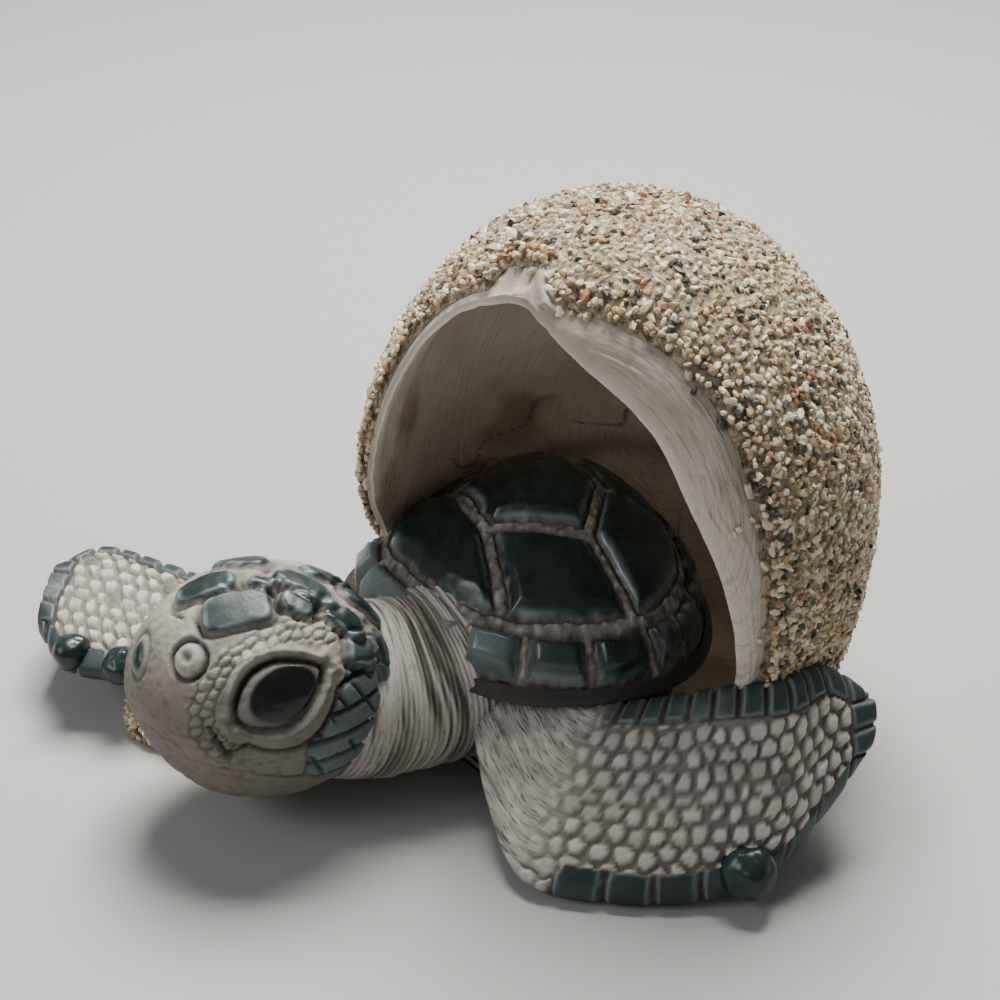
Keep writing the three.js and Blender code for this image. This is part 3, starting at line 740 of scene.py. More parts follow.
def seam_distance(across, along, share, angle):
    """Millimetres to the nearest seam: those of the dome inside the marginal ring, the short
    radial ones outside it, and the ring's own seam for both."""
    wobble = 0.28 * lumps(np.stack([across, along, 0 * across], axis=-1), 3.0, 81)
    ring = np.abs(share - MARGIN) * SHELL_FRONT_HALF + 0 * across
    dome = ring.copy()
    for seam in shell_seams():
        dome = np.minimum(dome, to_segment(np.abs(across - CREST), along, seam))
    past = (np.abs(angle) - NUCHAL_HALF) / MARGIN_STEP
    off = np.where(past < -0.5, 9.0, np.abs(past - np.round(past)))
    margin = np.minimum(ring, np.radians(off * MARGIN_STEP) * SHELL_FRONT_HALF)
    return np.maximum(np.where(share < MARGIN, dome, margin) + wobble, 0)


def inside_egg(points):
    """Each point that lies in or past the egg's wall, where the egg isn't open, pulled back to it."""
    way = points - HEART
    distance = np.linalg.norm(way, axis=-1)
    way = way / distance[..., None]
    turn, spread = turn_and_spread(way)
    most = inner_distance(way, -0.3)
    held = (spread > curve(OPENING_EDGE, turn)) & (distance > most)
    return np.where(held[..., None], HEART + way * most[..., None], points)


def shell_place(angle, share):
    """Across and along the carapace at an angle from its front and a share of its outline: an ellipse
    with other half-axes left, right, front and back, its front fuller at the corners."""
    a = np.radians(angle)
    across = np.where(a > 0, SHELL_LEFT_HALF, SHELL_RIGHT_HALF) * share * np.sin(a)
    front = SHELL_FRONT_HALF + SHELL_CORNER * np.maximum(0, -np.sin(2 * a))
    along = -np.where(np.cos(a) > 0, front, SHELL_BACK_HALF) * share * np.cos(a)
    return across, along


def shell_point(across, along, height):
    """A place of the carapace in the row frame: turned a little and moved to its middle."""
    t = np.radians(SHELL_TURN)
    x = SHELL_MIDDLE[0] + across * np.cos(t) + along * np.sin(t)
    y = SHELL_MIDDLE[1] - across * np.sin(t) + along * np.cos(t)
    return np.stack([x, y, height], axis=-1)


def dome_height(share):
    """Height at a share of the outline: inside the marginal seam a dome that falls by the share to
    the power 1.8, outside it a steep band that falls to the rim by what is left to the power 0.6."""
    dome = SHELL_RIM + MARGIN_RISE + SHELL_RISE * (1 - (np.minimum(share, MARGIN) / MARGIN) ** 1.8)
    band = SHELL_RIM + MARGIN_RISE * (np.clip(1 - share, 0, 1) / (1 - MARGIN)) ** 0.6
    return np.where(share < MARGIN, dome, band)


# Turtle finish: bare clay with dark slip and painted shade in its cuts, and glaze where the painted mask
# says.
turtle_finish, tree, shader = new_finish("glazed turtle clay")
grain = clay_by(tree, TURTLE_LIGHT, TURTLE_SHADE)
combed = combed_by(tree, COMB_LINES)
comb_shade = times(tree, combed.outputs["Dark"], painted(tree, "combed"))
clouds = noise_node(tree, 260, 5, 0.6)
cloudy = range_node(tree, clouds.outputs["Fac"], 0.36, 0.68, 0, 1)
deep = blend_node(tree, cloudy, DEEP_GLAZE, DEEP_CLOUD)
slate = blend_node(tree, cloudy, SLATE_GLAZE, SLATE_CLOUD)
glaze = layered(tree, deep, ("slate", slate), ("pale_edge_and_highlight", PALE_GLAZE))
# Painted shade darkens the comb grooves.
tone = layered(
    tree, grain.outputs["Color"], ("pale", PALE_CLAY), ("dust_and_shade", DUST_AND_SHADE), ("glaze", glaze),
    (times(tree, comb_shade, 0.8), COMB_SHADE), ("slip_and_shade", CUT_SLIP_AND_SHADE), ("pupil", PUPIL_BLACK),
)
tree.links.new(tone, shader.inputs["Base Color"])
smear = noise_node(tree, 700, 4, 0.6)
glassy = range_node(tree, smear.outputs["Fac"], 0.3, 0.7, *GLOSSY)
matt = tree.nodes.new("ShaderNodeMix")
matt.data_type = "FLOAT"
tree.links.new(painted(tree, "gloss"), matt.inputs[0])
matt.inputs[2].default_value = MATT
tree.links.new(glassy, matt.inputs[3])
tree.links.new(matt.outputs[0], shader.inputs["Roughness"])
matt_grain = blend_node(tree, painted(tree, "gloss"), grain.outputs["Height"], (0.5, 0.5, 0.5, 1))
line_height = times(tree, combed.outputs["Height"], painted(tree, "combed"))
add_bumps(tree, shader, (matt_grain, 1.0, 0.00008), (line_height, 1.0, 0.00026))

angle = full_turn(SHELL_COLUMNS, 360) - 180
share = np.linspace(0, 1, SHELL_TOP_ROWS + 1)[1:, None] ** 0.85
across, along = shell_place(angle, share)
plan = np.stack([across, along, 0 * across], axis=-1)
grit_low = rubble(plan, 0.55, 83)
gap = seam_distance(across, along, share, angle + 0 * share) + 0.1 * lumps(plan, 1.1, 86)
to_rim = (0.985 - share) * SHELL_FRONT_HALF + 0.3 * lumps(plan, 2.5, 87)
gap = np.where(share > 0.86, np.minimum(gap, np.maximum(to_rim, 0) + 0.25), gap)
pillow = smooth(SEAM_HALF, 1.9, gap)
crevice = hump(gap - SEAM_HALF - 0.12, 0.2)
in_seam = 1 - smooth(SEAM_HALF - 0.05, SEAM_HALF + 0.2, gap)
band = smooth(MARGIN - 0.01, MARGIN + 0.01, share)
relief = (SCUTE_STEP + MARGIN_STEP_UP * band) * pillow - 0.5 * crevice
relief += in_seam * (0.24 * grit_low - 0.05) - 0.75 - MARGIN_STEP_UP * band
relief += 0.12 * rubble(plan, 5, 84) * pillow
relief *= smooth(1.0, 0.97, share)
# Each marginal scute ends in its own round edge.
tuck = 1 - 0.05 * smooth(0.84, 0.96, share) * (1 - smooth(0.2, 2.2, gap))
top = inside_egg(shell_point(across * tuck, along * tuck, dome_height(share) + relief))
UNDERSIDE = [
    (0.985, SHELL_RIM - 0.15 * SHELL_EDGE), (0.94, SHELL_RIM - 0.6 * SHELL_EDGE),
    (0.84, SHELL_RIM - SHELL_EDGE), (0.78, mix(BELLY, SHELL_RIM, 0.45)), (0.66, BELLY + 1),
    (0.5, BELLY), (0.08, BELLY),
]
low_share, low_height = (np.array(column)[:, None] for column in zip(*UNDERSIDE))
low_across, low_along = shell_place(angle, low_share)
bottom = inside_egg(shell_point(low_across, low_along, low_height + 0 * angle))
shell_grid = np.concatenate([top, bottom])
pale_edge_line = hump(gap - 0.95, 0.22) * smooth(-0.3, 0.5, rubble(plan, 3, 85))
front = smooth(75, 20, np.abs(angle))
brow = band * smooth(0.99, 0.9, share)
glazed = smooth(SEAM_HALF + 0.08, SEAM_HALF + 0.4, gap + 0.3 * grit_low)
glazed *= 1 - 0.85 * band * smooth(0.93, 0.965, share + 0.02 * grit_low) * smooth(30, 10, np.abs(angle))
glazed *= 1 - 0.45 * band * smooth(80, 105, angle) * smooth(-0.3, 0.5, grit_low)
dust_and_shade = np.clip(in_seam * smooth(0.5, -0.2, grit_low) * 0.5 + 0.3 * band * smooth(0.94, 1.0, share), 0, 1)
back_dust = smooth(-2, 12, along) * (1 - band)
side_dust = band * smooth(80, 105, angle) * smooth(-0.5, 0.3, grit_low)
shell_paint = {
    "glaze": glazed,
    # Pale lines just inside the scute edges, and a painted highlight on the front marginals.
    "pale_edge_and_highlight": np.clip((0.8 - 0.4 * band) * pale_edge_line + 0.6 * brow * front, 0, 1),
    "slate": np.clip(0.25 * back_dust + 0.55 * band * front + 0.3 * side_dust, 0, 1),
    # Painted shade in the crevice at each scute's foot and under the rim's outer edge; the seams' darker
    # grit is their own colour.
    "slip_and_shade": np.clip(0.95 * crevice * (0.5 + 0.5 * smooth(-0.5, 0.3, grit_low))
                    + in_seam * (0.15 + 0.55 * smooth(0.05, -0.5, grit_low))
                    + 0.95 * smooth(0.97, 0.99, share), 0, 0.95),
    "gloss": 0.95 * glazed * (1 - 0.45 * back_dust) * (1 - 0.8 * side_dust),
    "dust_and_shade": dust_and_shade,
    "pale": 0.6 * in_seam * smooth(0.0, 0.5, grit_low),
}
# Painted shade over the carapace's underside.
UNDERSIDE_SHADE = {"slip_and_shade": 0.85, "dust_and_shade": 0.5}
shell_paint = {
    key: np.concatenate([value + 0 * gap, np.full(low_across.shape, UNDERSIDE_SHADE.get(key, 0))])
    for key, value in shell_paint.items()
}
make_skin("carapace", shell_grid, shell_paint, turtle_finish, "turtle")

# Neck: a thick bent roll of clay from the opening to the back of the head, combed all round into
# fine loose skin folds with painted shade between them and painted light on their crests.
NECK_RADIUS = 9.6
NECK_ROOT = np.array([-4.5, -14, SHELL_RIM - 3.4])
NECK_BEND = np.array([-4.5, -27, SHELL_RIM - 5.5])
HEAD_MIDDLE = np.array([-9.2, -37, 14.5])
NECK_LENGTH = 26
HOOP_PITCH = 0.55
NECK_ROWS = 340
NECK_COLUMNS = 170


def wound(middle, forward, u, v):
    """Points u to the left and v up from each station of a path: the left is the cross product of
    straight up and the path's direction, and the lift that of the direction and the left."""
    side = unit(np.cross([0, 0, 1], forward))
    lift = np.cross(forward, side)
    return middle[:, None] + side[:, None] * u[..., None] + lift[:, None] * v[..., None]


s = np.linspace(0, 1, NECK_ROWS)[:, None]
bezier = (1 - s) ** 2 * NECK_ROOT + 2 * s * (1 - s) * NECK_BEND + s**2 * HEAD_MIDDLE
heading = unit((1 - s) * (NECK_BEND - NECK_ROOT) + s * (HEAD_MIDDLE - NECK_BEND))
around = full_turn(NECK_COLUMNS) - np.pi
fold_at = np.stack([
    s * NECK_LENGTH + 0.5 * np.sin(3 * around + 5 * s), 1.3 * np.cos(around) + 0 * s,
    1.3 * np.sin(around) + 0 * s,
], axis=-1)
hoop = s * NECK_LENGTH / HOOP_PITCH + 1.6 * lumps(fold_at * np.array([0.35, 1, 1]), 1.6, 95)
folds = 0.25 * np.sin(2 * np.pi * hoop) + 0.9 * lumps(fold_at * np.array([1, 0.45, 0.45]), 0.4, 91)
folds += 0.55 * lumps(fold_at * np.array([1, 0.6, 0.6]), 1.0, 92)
wide = NECK_RADIUS * (1.08 - 0.16 * np.sin(np.pi * np.clip(1.25 * s, 0, 1)) - 0.2 * smooth(0.45, 0.85, s))
ring = wide + 0.2 * folds + 0.25 * lumps(fold_at * np.array([0.4, 2, 2]), 2.2, 93)
neck_grid = wound(bezier, heading, ring * np.cos(around), ring * np.sin(around))
drift = 0.35 * lumps(fold_at * np.array([0.25, 1, 1]), 1.1, 94)
# Painted shade darkens the fold troughs; painted light pales the crests, most along the neck's top.
neck_paint = {
    "across": s * NECK_LENGTH + drift, "along": 1.4 * around + 0 * s, "combed": 0.5 + 0 * ring,
    "slip_and_shade": 0.8 * smooth(0.2, 0.9, -folds), "dust_and_shade": 0.3 * smooth(-0.2, 0.6, -folds),
    "pale": (0.35 + 0.6 * smooth(-0.4, 0.6, np.sin(around))) * smooth(-0.35, 0.35, folds),
}
make_skin("neck", neck_grid, neck_paint, turtle_finish, "turtle")

# Head: a ball of clay with everything cut or pressed into it: almond eyes with a bulging ball and
# lids, rings of bead scales, glazed scutes on the crown, a grid-cut cheek, nostrils, a mouth line.
HEAD_LENGTH = 26.0
HEAD_WIDTH = 22.0
HEAD_HEIGHT = 23.4
HEAD_ROWS = 210
HEAD_COLUMNS = 300
HALF = np.array([HEAD_LENGTH, HEAD_WIDTH, HEAD_HEIGHT]) / 2
HEAD_WAY = np.array([-0.6, -0.8, 0])
HEAD_LEFT = np.cross([0, 0, 1], HEAD_WAY)
HEAD_UP = np.array([0, 0, 1])

tilt = (np.pi * np.arange(1, HEAD_ROWS) / HEAD_ROWS)[:, None]
around = full_turn(HEAD_COLUMNS)
ball = np.stack([
    -np.cos(tilt) + 0 * around, np.sin(tilt) * np.cos(around), np.sin(tilt) * np.sin(around),
], axis=-1)
skin_at = ball * HALF


def chart(centre, axis, ways=None):
    """Millimetres along and across an axis on the plane that touches the head at a unit direction,
    for all of the head's skin or for given directions, and far away on the head's other side."""
    ways = ball if ways is None else ways
    middle = unit(np.array(centre))
    normal = unit(middle / HALF)
    along = np.array(axis) * HALF
    along = unit(along - normal * (along @ normal))
    across = np.cross(normal, along)
    gap = ways * HALF - middle * HALF
    behind = 40.0 * (ways @ middle < 0.2)
    return gap @ along + behind, gap @ across + behind


def both_sides(centre, axis):
    """Charts of a feature and of its mirror image on the head's other side."""
    mirror = np.array([1, -1, 1])
    return [chart(centre, axis), chart(np.array(centre) * mirror, np.array(axis) * mirror)]


head_swell = 0.10 * rubble(skin_at, 2.5, 101) + 0.05 * rubble(skin_at, 0.9, 105)
HEAD_PAINTS = ("glaze", "pale_edge_and_highlight", "slate", "slip_and_shade", "gloss", "dust_and_shade", "pale", "pupil")
head = {key: np.zeros(ball.shape[:2]) for key in HEAD_PAINTS}


def cover(key, amount):
    """Raises one of the head's paints to at least that amount."""
    head[key] = np.maximum(head[key], amount)


def polygon_distance(x, y, corners):
    """Distance to the nearest side of a polygon, negative inside it: a place is inside when a line
    from it crosses the sides an odd number of times."""
    nearest = np.full(x.shape, 99.0)
    inside = np.zeros(x.shape, bool)
    for (ax, ay), (bx, by) in zip(corners, np.roll(corners, -1, axis=0)):
        nearest = np.minimum(nearest, to_segment(x, y, (ax, ay, bx, by)))
        if ay != by:
            inside ^= ((ay > y) != (by > y)) & (x < ax + (y - ay) / (by - ay) * (bx - ax))
    return np.where(inside, -nearest, nearest)


def pebble_cells(u, v, pitch, seed):
    """Distances to the nearest and second nearest of the jittered middles of a staggered lattice,
    and a random number of the nearest: the pattern of packed pebbles."""
    rng = np.random.default_rng(seed)
    jitter = rng.uniform(-0.26, 0.26, (64, 64, 2))
    level = rng.uniform(0, 1, (64, 64))
    x, y = u / pitch, v / pitch
    row, best, second, tint = np.floor(y), np.full(u.shape, 9.0), np.full(u.shape, 9.0), np.zeros(u.shape)
    for dy in (-1, 0, 1, 2):
        r = row + dy
        shift = 0.5 * (r % 2)
        for dx in (-1, 0, 1, 2):
            c = np.floor(x - shift) + dx
            ci, ri = c.astype(int) % 64, r.astype(int) % 64
            away = np.hypot(x - c - shift - jitter[ri, ci, 0], y - r - jitter[ri, ci, 1])
            nearer = away < best
            second = np.where(nearer, best, np.minimum(second, away))
            tint = np.where(nearer, level[ri, ci], tint)
            best = np.where(nearer, away, best)
    return best * pitch, second * pitch, tint


# Crown scutes: middle direction (forward, left, up), long axis, half-length, half-width, slate.
CROWN = [
    ((0.33, 0.03, 0.94), (-0.94, -0.11, 0.34), 2.8, 1.35, 0.15),
    ((0.07, 0.36, 0.93), (-0.97, -0.19, 0.15), 3.0, 1.75, 0.45),
    ((0.12, -0.36, 0.93), (-0.97, 0.15, 0.2), 2.4, 1.2, 0.2),
    ((-0.08, 0.06, 0.99), (-0.91, 0.40, -0.1), 0.95, 0.6, 0.1),
    ((-0.38, -0.01, 0.93), (-0.88, 0.35, -0.33), 2.9, 1.25, 0.1),
    ((-0.35, 0.24, 0.91), (-0.91, 0.18, -0.39), 1.35, 0.95, 0.05),
    ((-0.50, -0.38, 0.78), (-0.70, -0.35, -0.62), 2.5, 1.1, 0.1),
    ((-0.77, -0.28, 0.57), (-0.54, -0.19, -0.82), 2.4, 1.3, 0.1),
    ((-0.68, 0.18, 0.71), (-0.70, 0.12, -0.70), 1.95, 1.1, 0.05),
    ((-0.93, 0.13, 0.33), (-0.30, 0.45, -0.84), 2.3, 0.9, 0.05),
    ((-0.80, 0.32, 0.50), (-0.58, -0.62, -0.53), 1.6, 1.35, 0.9),
]
for centre, axis, long, short, slate_share in CROWN:
    x, y = chart(centre, axis)
    long, short = long + 0.35, short + 0.3
    edge_of = (np.abs(x / long) ** 3.4 + np.abs(y / short) ** 3.4) ** (1 / 3.4)
    reach = (edge_of - 1) * short + 0.1 * lumps(skin_at, 1.5, 102)
    head_swell += 0.5 * smooth(0.12, -0.3, reach) - 0.3 * hump(reach - 0.3, 0.2)
    inside = smooth(0.1, -0.1, reach)
    cover("glaze", inside)
    cover("gloss", inside * (0.75 - 0.4 * slate_share))
    head["slate"] += slate_share * inside
    # A pale line just inside each scute's edge, and painted shade in the cut groove round it.
    head["pale_edge_and_highlight"] += 0.65 * hump(reach + 0.28, 0.16) * smooth(-0.5, 0.4, lumps(skin_at, 1.1, 106))
    head["slip_and_shade"] += 0.55 * hump(reach - 0.26, 0.17)

# Bare pits and small cuts between the scutes, darkened inside by painted shade.
PITS = [
    ((-0.24, 0.31, 0.92), (-0.37, 0.85, -0.38), 0.85, 0.42),
    ((-0.49, 0.29, 0.82), (-0.31, 0.82, -0.47), 1.1, 0.5),
    ((-0.58, -0.03, 0.81), (-0.35, 0.91, -0.21), 0.75, 0.4),
    ((-0.15, 0.16, 0.97), (-0.4, 0.9, 0), 0.6, 0.35),
    ((0.12, 0.12, 0.98), (-0.9, 0.2, 0), 1.1, 0.3),
    ((-0.86, 0.18, 0.46), (-0.3, 0.8, -0.4), 0.8, 0.4),
]
CUTS = [
    ((0.52, 0.25, 0.81), (-0.62, 0.77, 0.16), 1.5, 0.2),
    ((0.35, 0.46, 0.82), (-0.42, 0.86, -0.30), 1.5, 0.2),
]
for centre, axis, long, short in PITS + CUTS:
    x, y = chart(centre, axis)
    dip = smooth(1.25, 0.4, np.hypot(x / long, y / short))
    head_swell -= 0.4 * dip
    head["slip_and_shade"] += (0.5 if short > 0.25 else 0.85) * dip

# Nostrils: a cut ring round a low boss on the left, a glazed boss on the right.
x, y = chart((0.40, 0.66, 0.64), (-0.92, 0.33, 0.23))
from_ring = np.hypot(x, y)
groove = hump(from_ring - 1.85, 0.26)
head_swell += 0.35 * smooth(1.8, 0.5, from_ring) + 0.12 * smooth(2.9, 2.1, from_ring) - 0.6 * groove
pinch = hump(np.hypot(x, y - 0.2), 0.5)
head_swell -= 0.5 * pinch
# Painted shade in the ring's groove and the pinch.
head["slip_and_shade"] += 0.9 * groove + 0.4 * pinch
head["pale"] += 0.3 * hump(from_ring - 1.0, 0.4)
x, y = chart((0.79, 0.30, 0.45), (-0.1, 0.6, -0.6))
boss = np.hypot(x / 1.9, y / 1.3)
head_swell += 0.45 * smooth(1.2, 0.3, boss) - 0.22 * hump(boss - 1.35, 0.14)
cover("glaze", smooth(1.05, 0.8, boss))
cover("gloss", smooth(1.05, 0.8, boss))
head["slate"] += 0.6 * smooth(0.3, 1.0, boss) * smooth(1.1, 0.9, boss)
# Painted shade in the groove round the glazed boss.
head["slip_and_shade"] += 0.4 * hump(boss - 1.35, 0.12)

# Eyes: x runs from the front corner to the back one, y up; the opening is an almond.
EYE_LONG = 4.75
EYE_TALL = 3.2
PUPIL_LONG = 3.55
PUPIL_TALL = 2.6
BEAD_PITCH = 0.95
for side, (x, y) in enumerate(both_sides((-0.26, 0.86, 0.43), (-0.80, -0.44, 0.40))):
    y = y if side == 0 else -y
    t = np.clip((x + EYE_LONG) / (2 * EYE_LONG), 0, 1)
    arch = np.sin(np.pi * t**0.9) ** 0.75
    upper = EYE_TALL * 1.05 * arch
    lower = -EYE_TALL * 0.9 * arch
    off_y = np.where(y > 0, y - upper, lower - y)
    off_x = np.abs(x) - EYE_LONG
    off = np.maximum(off_y * 0.92, off_x)
    opening = smooth(0.1, -0.1, off)
    groove = hump(off, 0.3)
    heavy = smooth(-1.5, 0.8, y + 0.2 * x)
    bulge = np.sqrt(np.clip(1 - (x / 5.2) ** 2 - (y / 3.9) ** 2, 0, 1))
    lid = hump(off - 0.75, 0.45)
    head_swell += opening * (1.0 * bulge - 0.75) + 0.5 * lid - groove * (0.45 + 0.35 * heavy)
    # Painted shade fills the groove round the eye, heaviest along the upper lid.
    head["slip_and_shade"] += groove * (0.45 + 0.55 * heavy)
    white = opening * smooth(0, -0.3, off)
    cover("pale", 0.3 * white)
    head["dust_and_shade"] += white * (0.2 + 0.3 * smooth(0.5, -1.5, y))
    pupil_off = np.hypot((x - 0.35) / PUPIL_LONG, (y + 0.05) / PUPIL_TALL)
    black = smooth(1.08, 0.88, pupil_off) * opening
    cover("pupil", black)
    cover("gloss", black * 0.9)
    # Bead scales in rings round the brow and a fold under the lower lid.
    out = np.hypot(x / EYE_LONG, y / EYE_TALL)
    bearing = np.arctan2(y / EYE_TALL, x / EYE_LONG)
    near, next_near, bead_tint = pebble_cells(bearing * 5.2, (out - 1) * 3.9, BEAD_PITCH, 104)
    bead = smooth(0.03, 0.4, next_near - near)
    zone = smooth(1.27, 1.36, out) * smooth(2.05, 1.9, out + 0.1 * bead_tint)
    zone *= 1 - smooth(-2.6, -2.35, bearing) * smooth(0.35, 0.1, bearing)
    zone *= 1 - head["glaze"]
    head_swell += zone * 0.26 * (bead - 0.5)
    # Painted shade between the beads, which are paler.
    head["slip_and_shade"] += 0.34 * zone * (1 - bead)
    cover("pale", 0.3 * zone * bead)
    fold = hump(off - 2.35, 0.22) * smooth(0.2, -0.8, y + 0.15 * x)
    head_swell -= 0.4 * fold
    # Painted shade in the fold under the lower lid.
    head["slip_and_shade"] += 0.7 * fold

# Cheeks: a slate patch behind the eye cut into a grid by short strokes.
CHEEK = [
    (-0.66, 0.69, 0.30), (-0.72, 0.47, 0.51), (-0.88, 0.26, 0.40), (-1.0, 0.05, 0.08),
    (-0.93, 0.18, -0.32), (-0.72, 0.38, -0.58), (-0.48, 0.71, -0.52), (-0.40, 0.84, -0.36),
    (-0.42, 0.90, -0.07), (-0.50, 0.87, 0.02),
]
CHEEK_MIDDLE = (-0.80, 0.58, -0.05)
CHEEK_AXIS = (-0.45, -0.55, 0.15)
CHEEK_ROW = 2.6
CHEEK_COLUMN = 1.9
cheek_corners = np.stack(chart(CHEEK_MIDDLE, CHEEK_AXIS, unit(np.array(CHEEK))), axis=-1)
for side, (x, y) in enumerate(both_sides(CHEEK_MIDDLE, CHEEK_AXIS)):
    y = y if side == 0 else -y
    outside = polygon_distance(x, y, cheek_corners) + 0.15 * lumps(skin_at, 1.4, 107)
    patch = smooth(0.1, -0.15, outside)
    rows_of = np.abs(((y + 0.25 * x) / CHEEK_ROW + 0.5) % 1 - 0.5) * CHEEK_ROW
    columns_of = np.abs(((x + 0.28 * y) / CHEEK_COLUMN + 0.5) % 1 - 0.5) * CHEEK_COLUMN
    broken = smooth(-0.25, 0.1, lumps(skin_at, 1.7, 103))
    strokes = np.maximum(hump(rows_of, 0.24), broken * hump(columns_of, 0.17))
    edge_cut = 0.6 * hump(outside, 0.17)
    patch = patch * (1 - head["glaze"])
    head_swell += 0.12 * patch - 0.5 * patch * strokes - 0.3 * edge_cut
    cover("glaze", patch)
    head["slate"] += patch
    # Painted shade in the cut strokes and the patch's edge cut; the raised parts between strokes are paler.
    head["slip_and_shade"] += 0.9 * patch * strokes + 0.8 * edge_cut
    head["pale_edge_and_highlight"] += 0.3 * patch * (1 - strokes)

# Mouth: a low cut below the eye, with a fine dark line of painted shade at its back.
forward, up = ball[..., 0], ball[..., 2]
mouth_line = curve([(-0.6, -0.42), (-0.26, -0.37), (0.05, -0.27), (0.4, -0.215), (1.0, -0.13)], forward)
off = (up - mouth_line) * HALF[2]
front_part = smooth(-0.42, -0.34, forward)
cut = hump(off, 0.24) * front_part
under_lip = smooth(0.1, -0.4, off) * smooth(-4.5, -0.5, off) * smooth(-0.6, 0.1, forward)
head_swell -= 0.55 * cut + 0.45 * under_lip
head["slip_and_shade"] += 0.9 * cut

# Painted shade: the bare skin darkens towards the underside of the head and in its wrinkle troughs.
crinkle = lumps(skin_at * np.array([1, 1, 2.2]), 0.8, 108) + 0.6 * lumps(skin_at, 0.5, 109)
bare = (1 - head["glaze"]) * (1 - head["pupil"])
below = smooth(0.75, 0.1, up)
head_swell += 0.05 * bare * crinkle
head["dust_and_shade"] += bare * (0.7 * below + 0.2 * smooth(0.1, 0.8, -crinkle))
head["slip_and_shade"] += bare * (0.24 * below + 0.2 * smooth(0.2, 0.9, -crinkle))

for key in head:
    head[key] = np.clip(head[key], 0, 1)
taper = 1 - 0.1 * smooth(0.3, 1, forward)
size = HALF + head_swell[..., None]
local = ball * size * np.stack([np.ones_like(taper), taper, taper], axis=-1)
head_grid = HEAD_MIDDLE + local @ np.stack([HEAD_WAY, HEAD_LEFT, HEAD_UP])
make_skin("head", head_grid, head, turtle_finish, "turtle")

# Flippers: flat tongues of clay, pressed with rows of rounded scales between grooves darkened by painted
# shade, with glazed slate blocks along both edges and combed skin where they leave the shoulder.
FLIPPER_THICKNESS = 4.4
FLIPPER_STATIONS = 230
FLIPPER_COLUMNS = 150
SWEEP = np.radians(53.13)
TURN = np.array([
    [np.cos(SWEEP), -np.sin(SWEEP), 0], [np.sin(SWEEP), np.cos(SWEEP), 0], [0, 0, 1],
])
LEFT_LEAD = [
    (-15, -14, 11), (-13.5, -23, 7), (-10, -30.5, 3), (-1, -33, 2), (8, -33, 2), (14, -31.5, 3),
    (20, -26.5, 7), (24, -22, 11),
]
LEFT_TRAIL = [
    (-9, -10, 14), (-6, -13, 14), (-2, -17, 14.4), (4, -19.8, 16.8), (9.5, -22.4, 19.4),
    (15, -22.9, 20.2), (20, -19, 19.2), (24.5, -18, 15.5),
]
RIGHT_LEAD = [
    (-22, -7, 12), (-32, -7, 10.5), (-42, -6, 9), (-51, -4.5, 8.5), (-57.5, -2.5, 8.5),
    (-61.5, 3.5, 9.5),
]
RIGHT_TRAIL = [
    (-20, 2, 12.5), (-30, 2, 12.5), (-39, 6, 12), (-48.5, 12.5, 11.5), (-56.5, 17, 11),
    (-61, 13.5, 10.5),
]
CORNER_POWER = 0.8
SCALE_PITCH = 1.9
LEAD_BLOCK = 4.1
TRAIL_BLOCK = 2.8


def rail(corners, s):
    """A smooth line through points: on each span a cubic whose end slopes are half the way between
    the two neighbours, reflected past the ends."""
    p = np.array(corners, float)
    p = np.concatenate([[2 * p[0] - p[1]], p, [2 * p[-1] - p[-2]]])
    u = np.clip(s, 0, 1) * (len(corners) - 1)
    i = np.minimum(u.astype(int), len(corners) - 2)
    t = (u - i)[:, None]
    a, b, c, d = p[i], p[i + 1], p[i + 2], p[i + 3]
    m, n = (c - a) / 2, (d - b) / 2
    return b + t * m + t**2 * (3 * (c - b) - 2 * m - n) + t**3 * (2 * (b - c) + m + n)


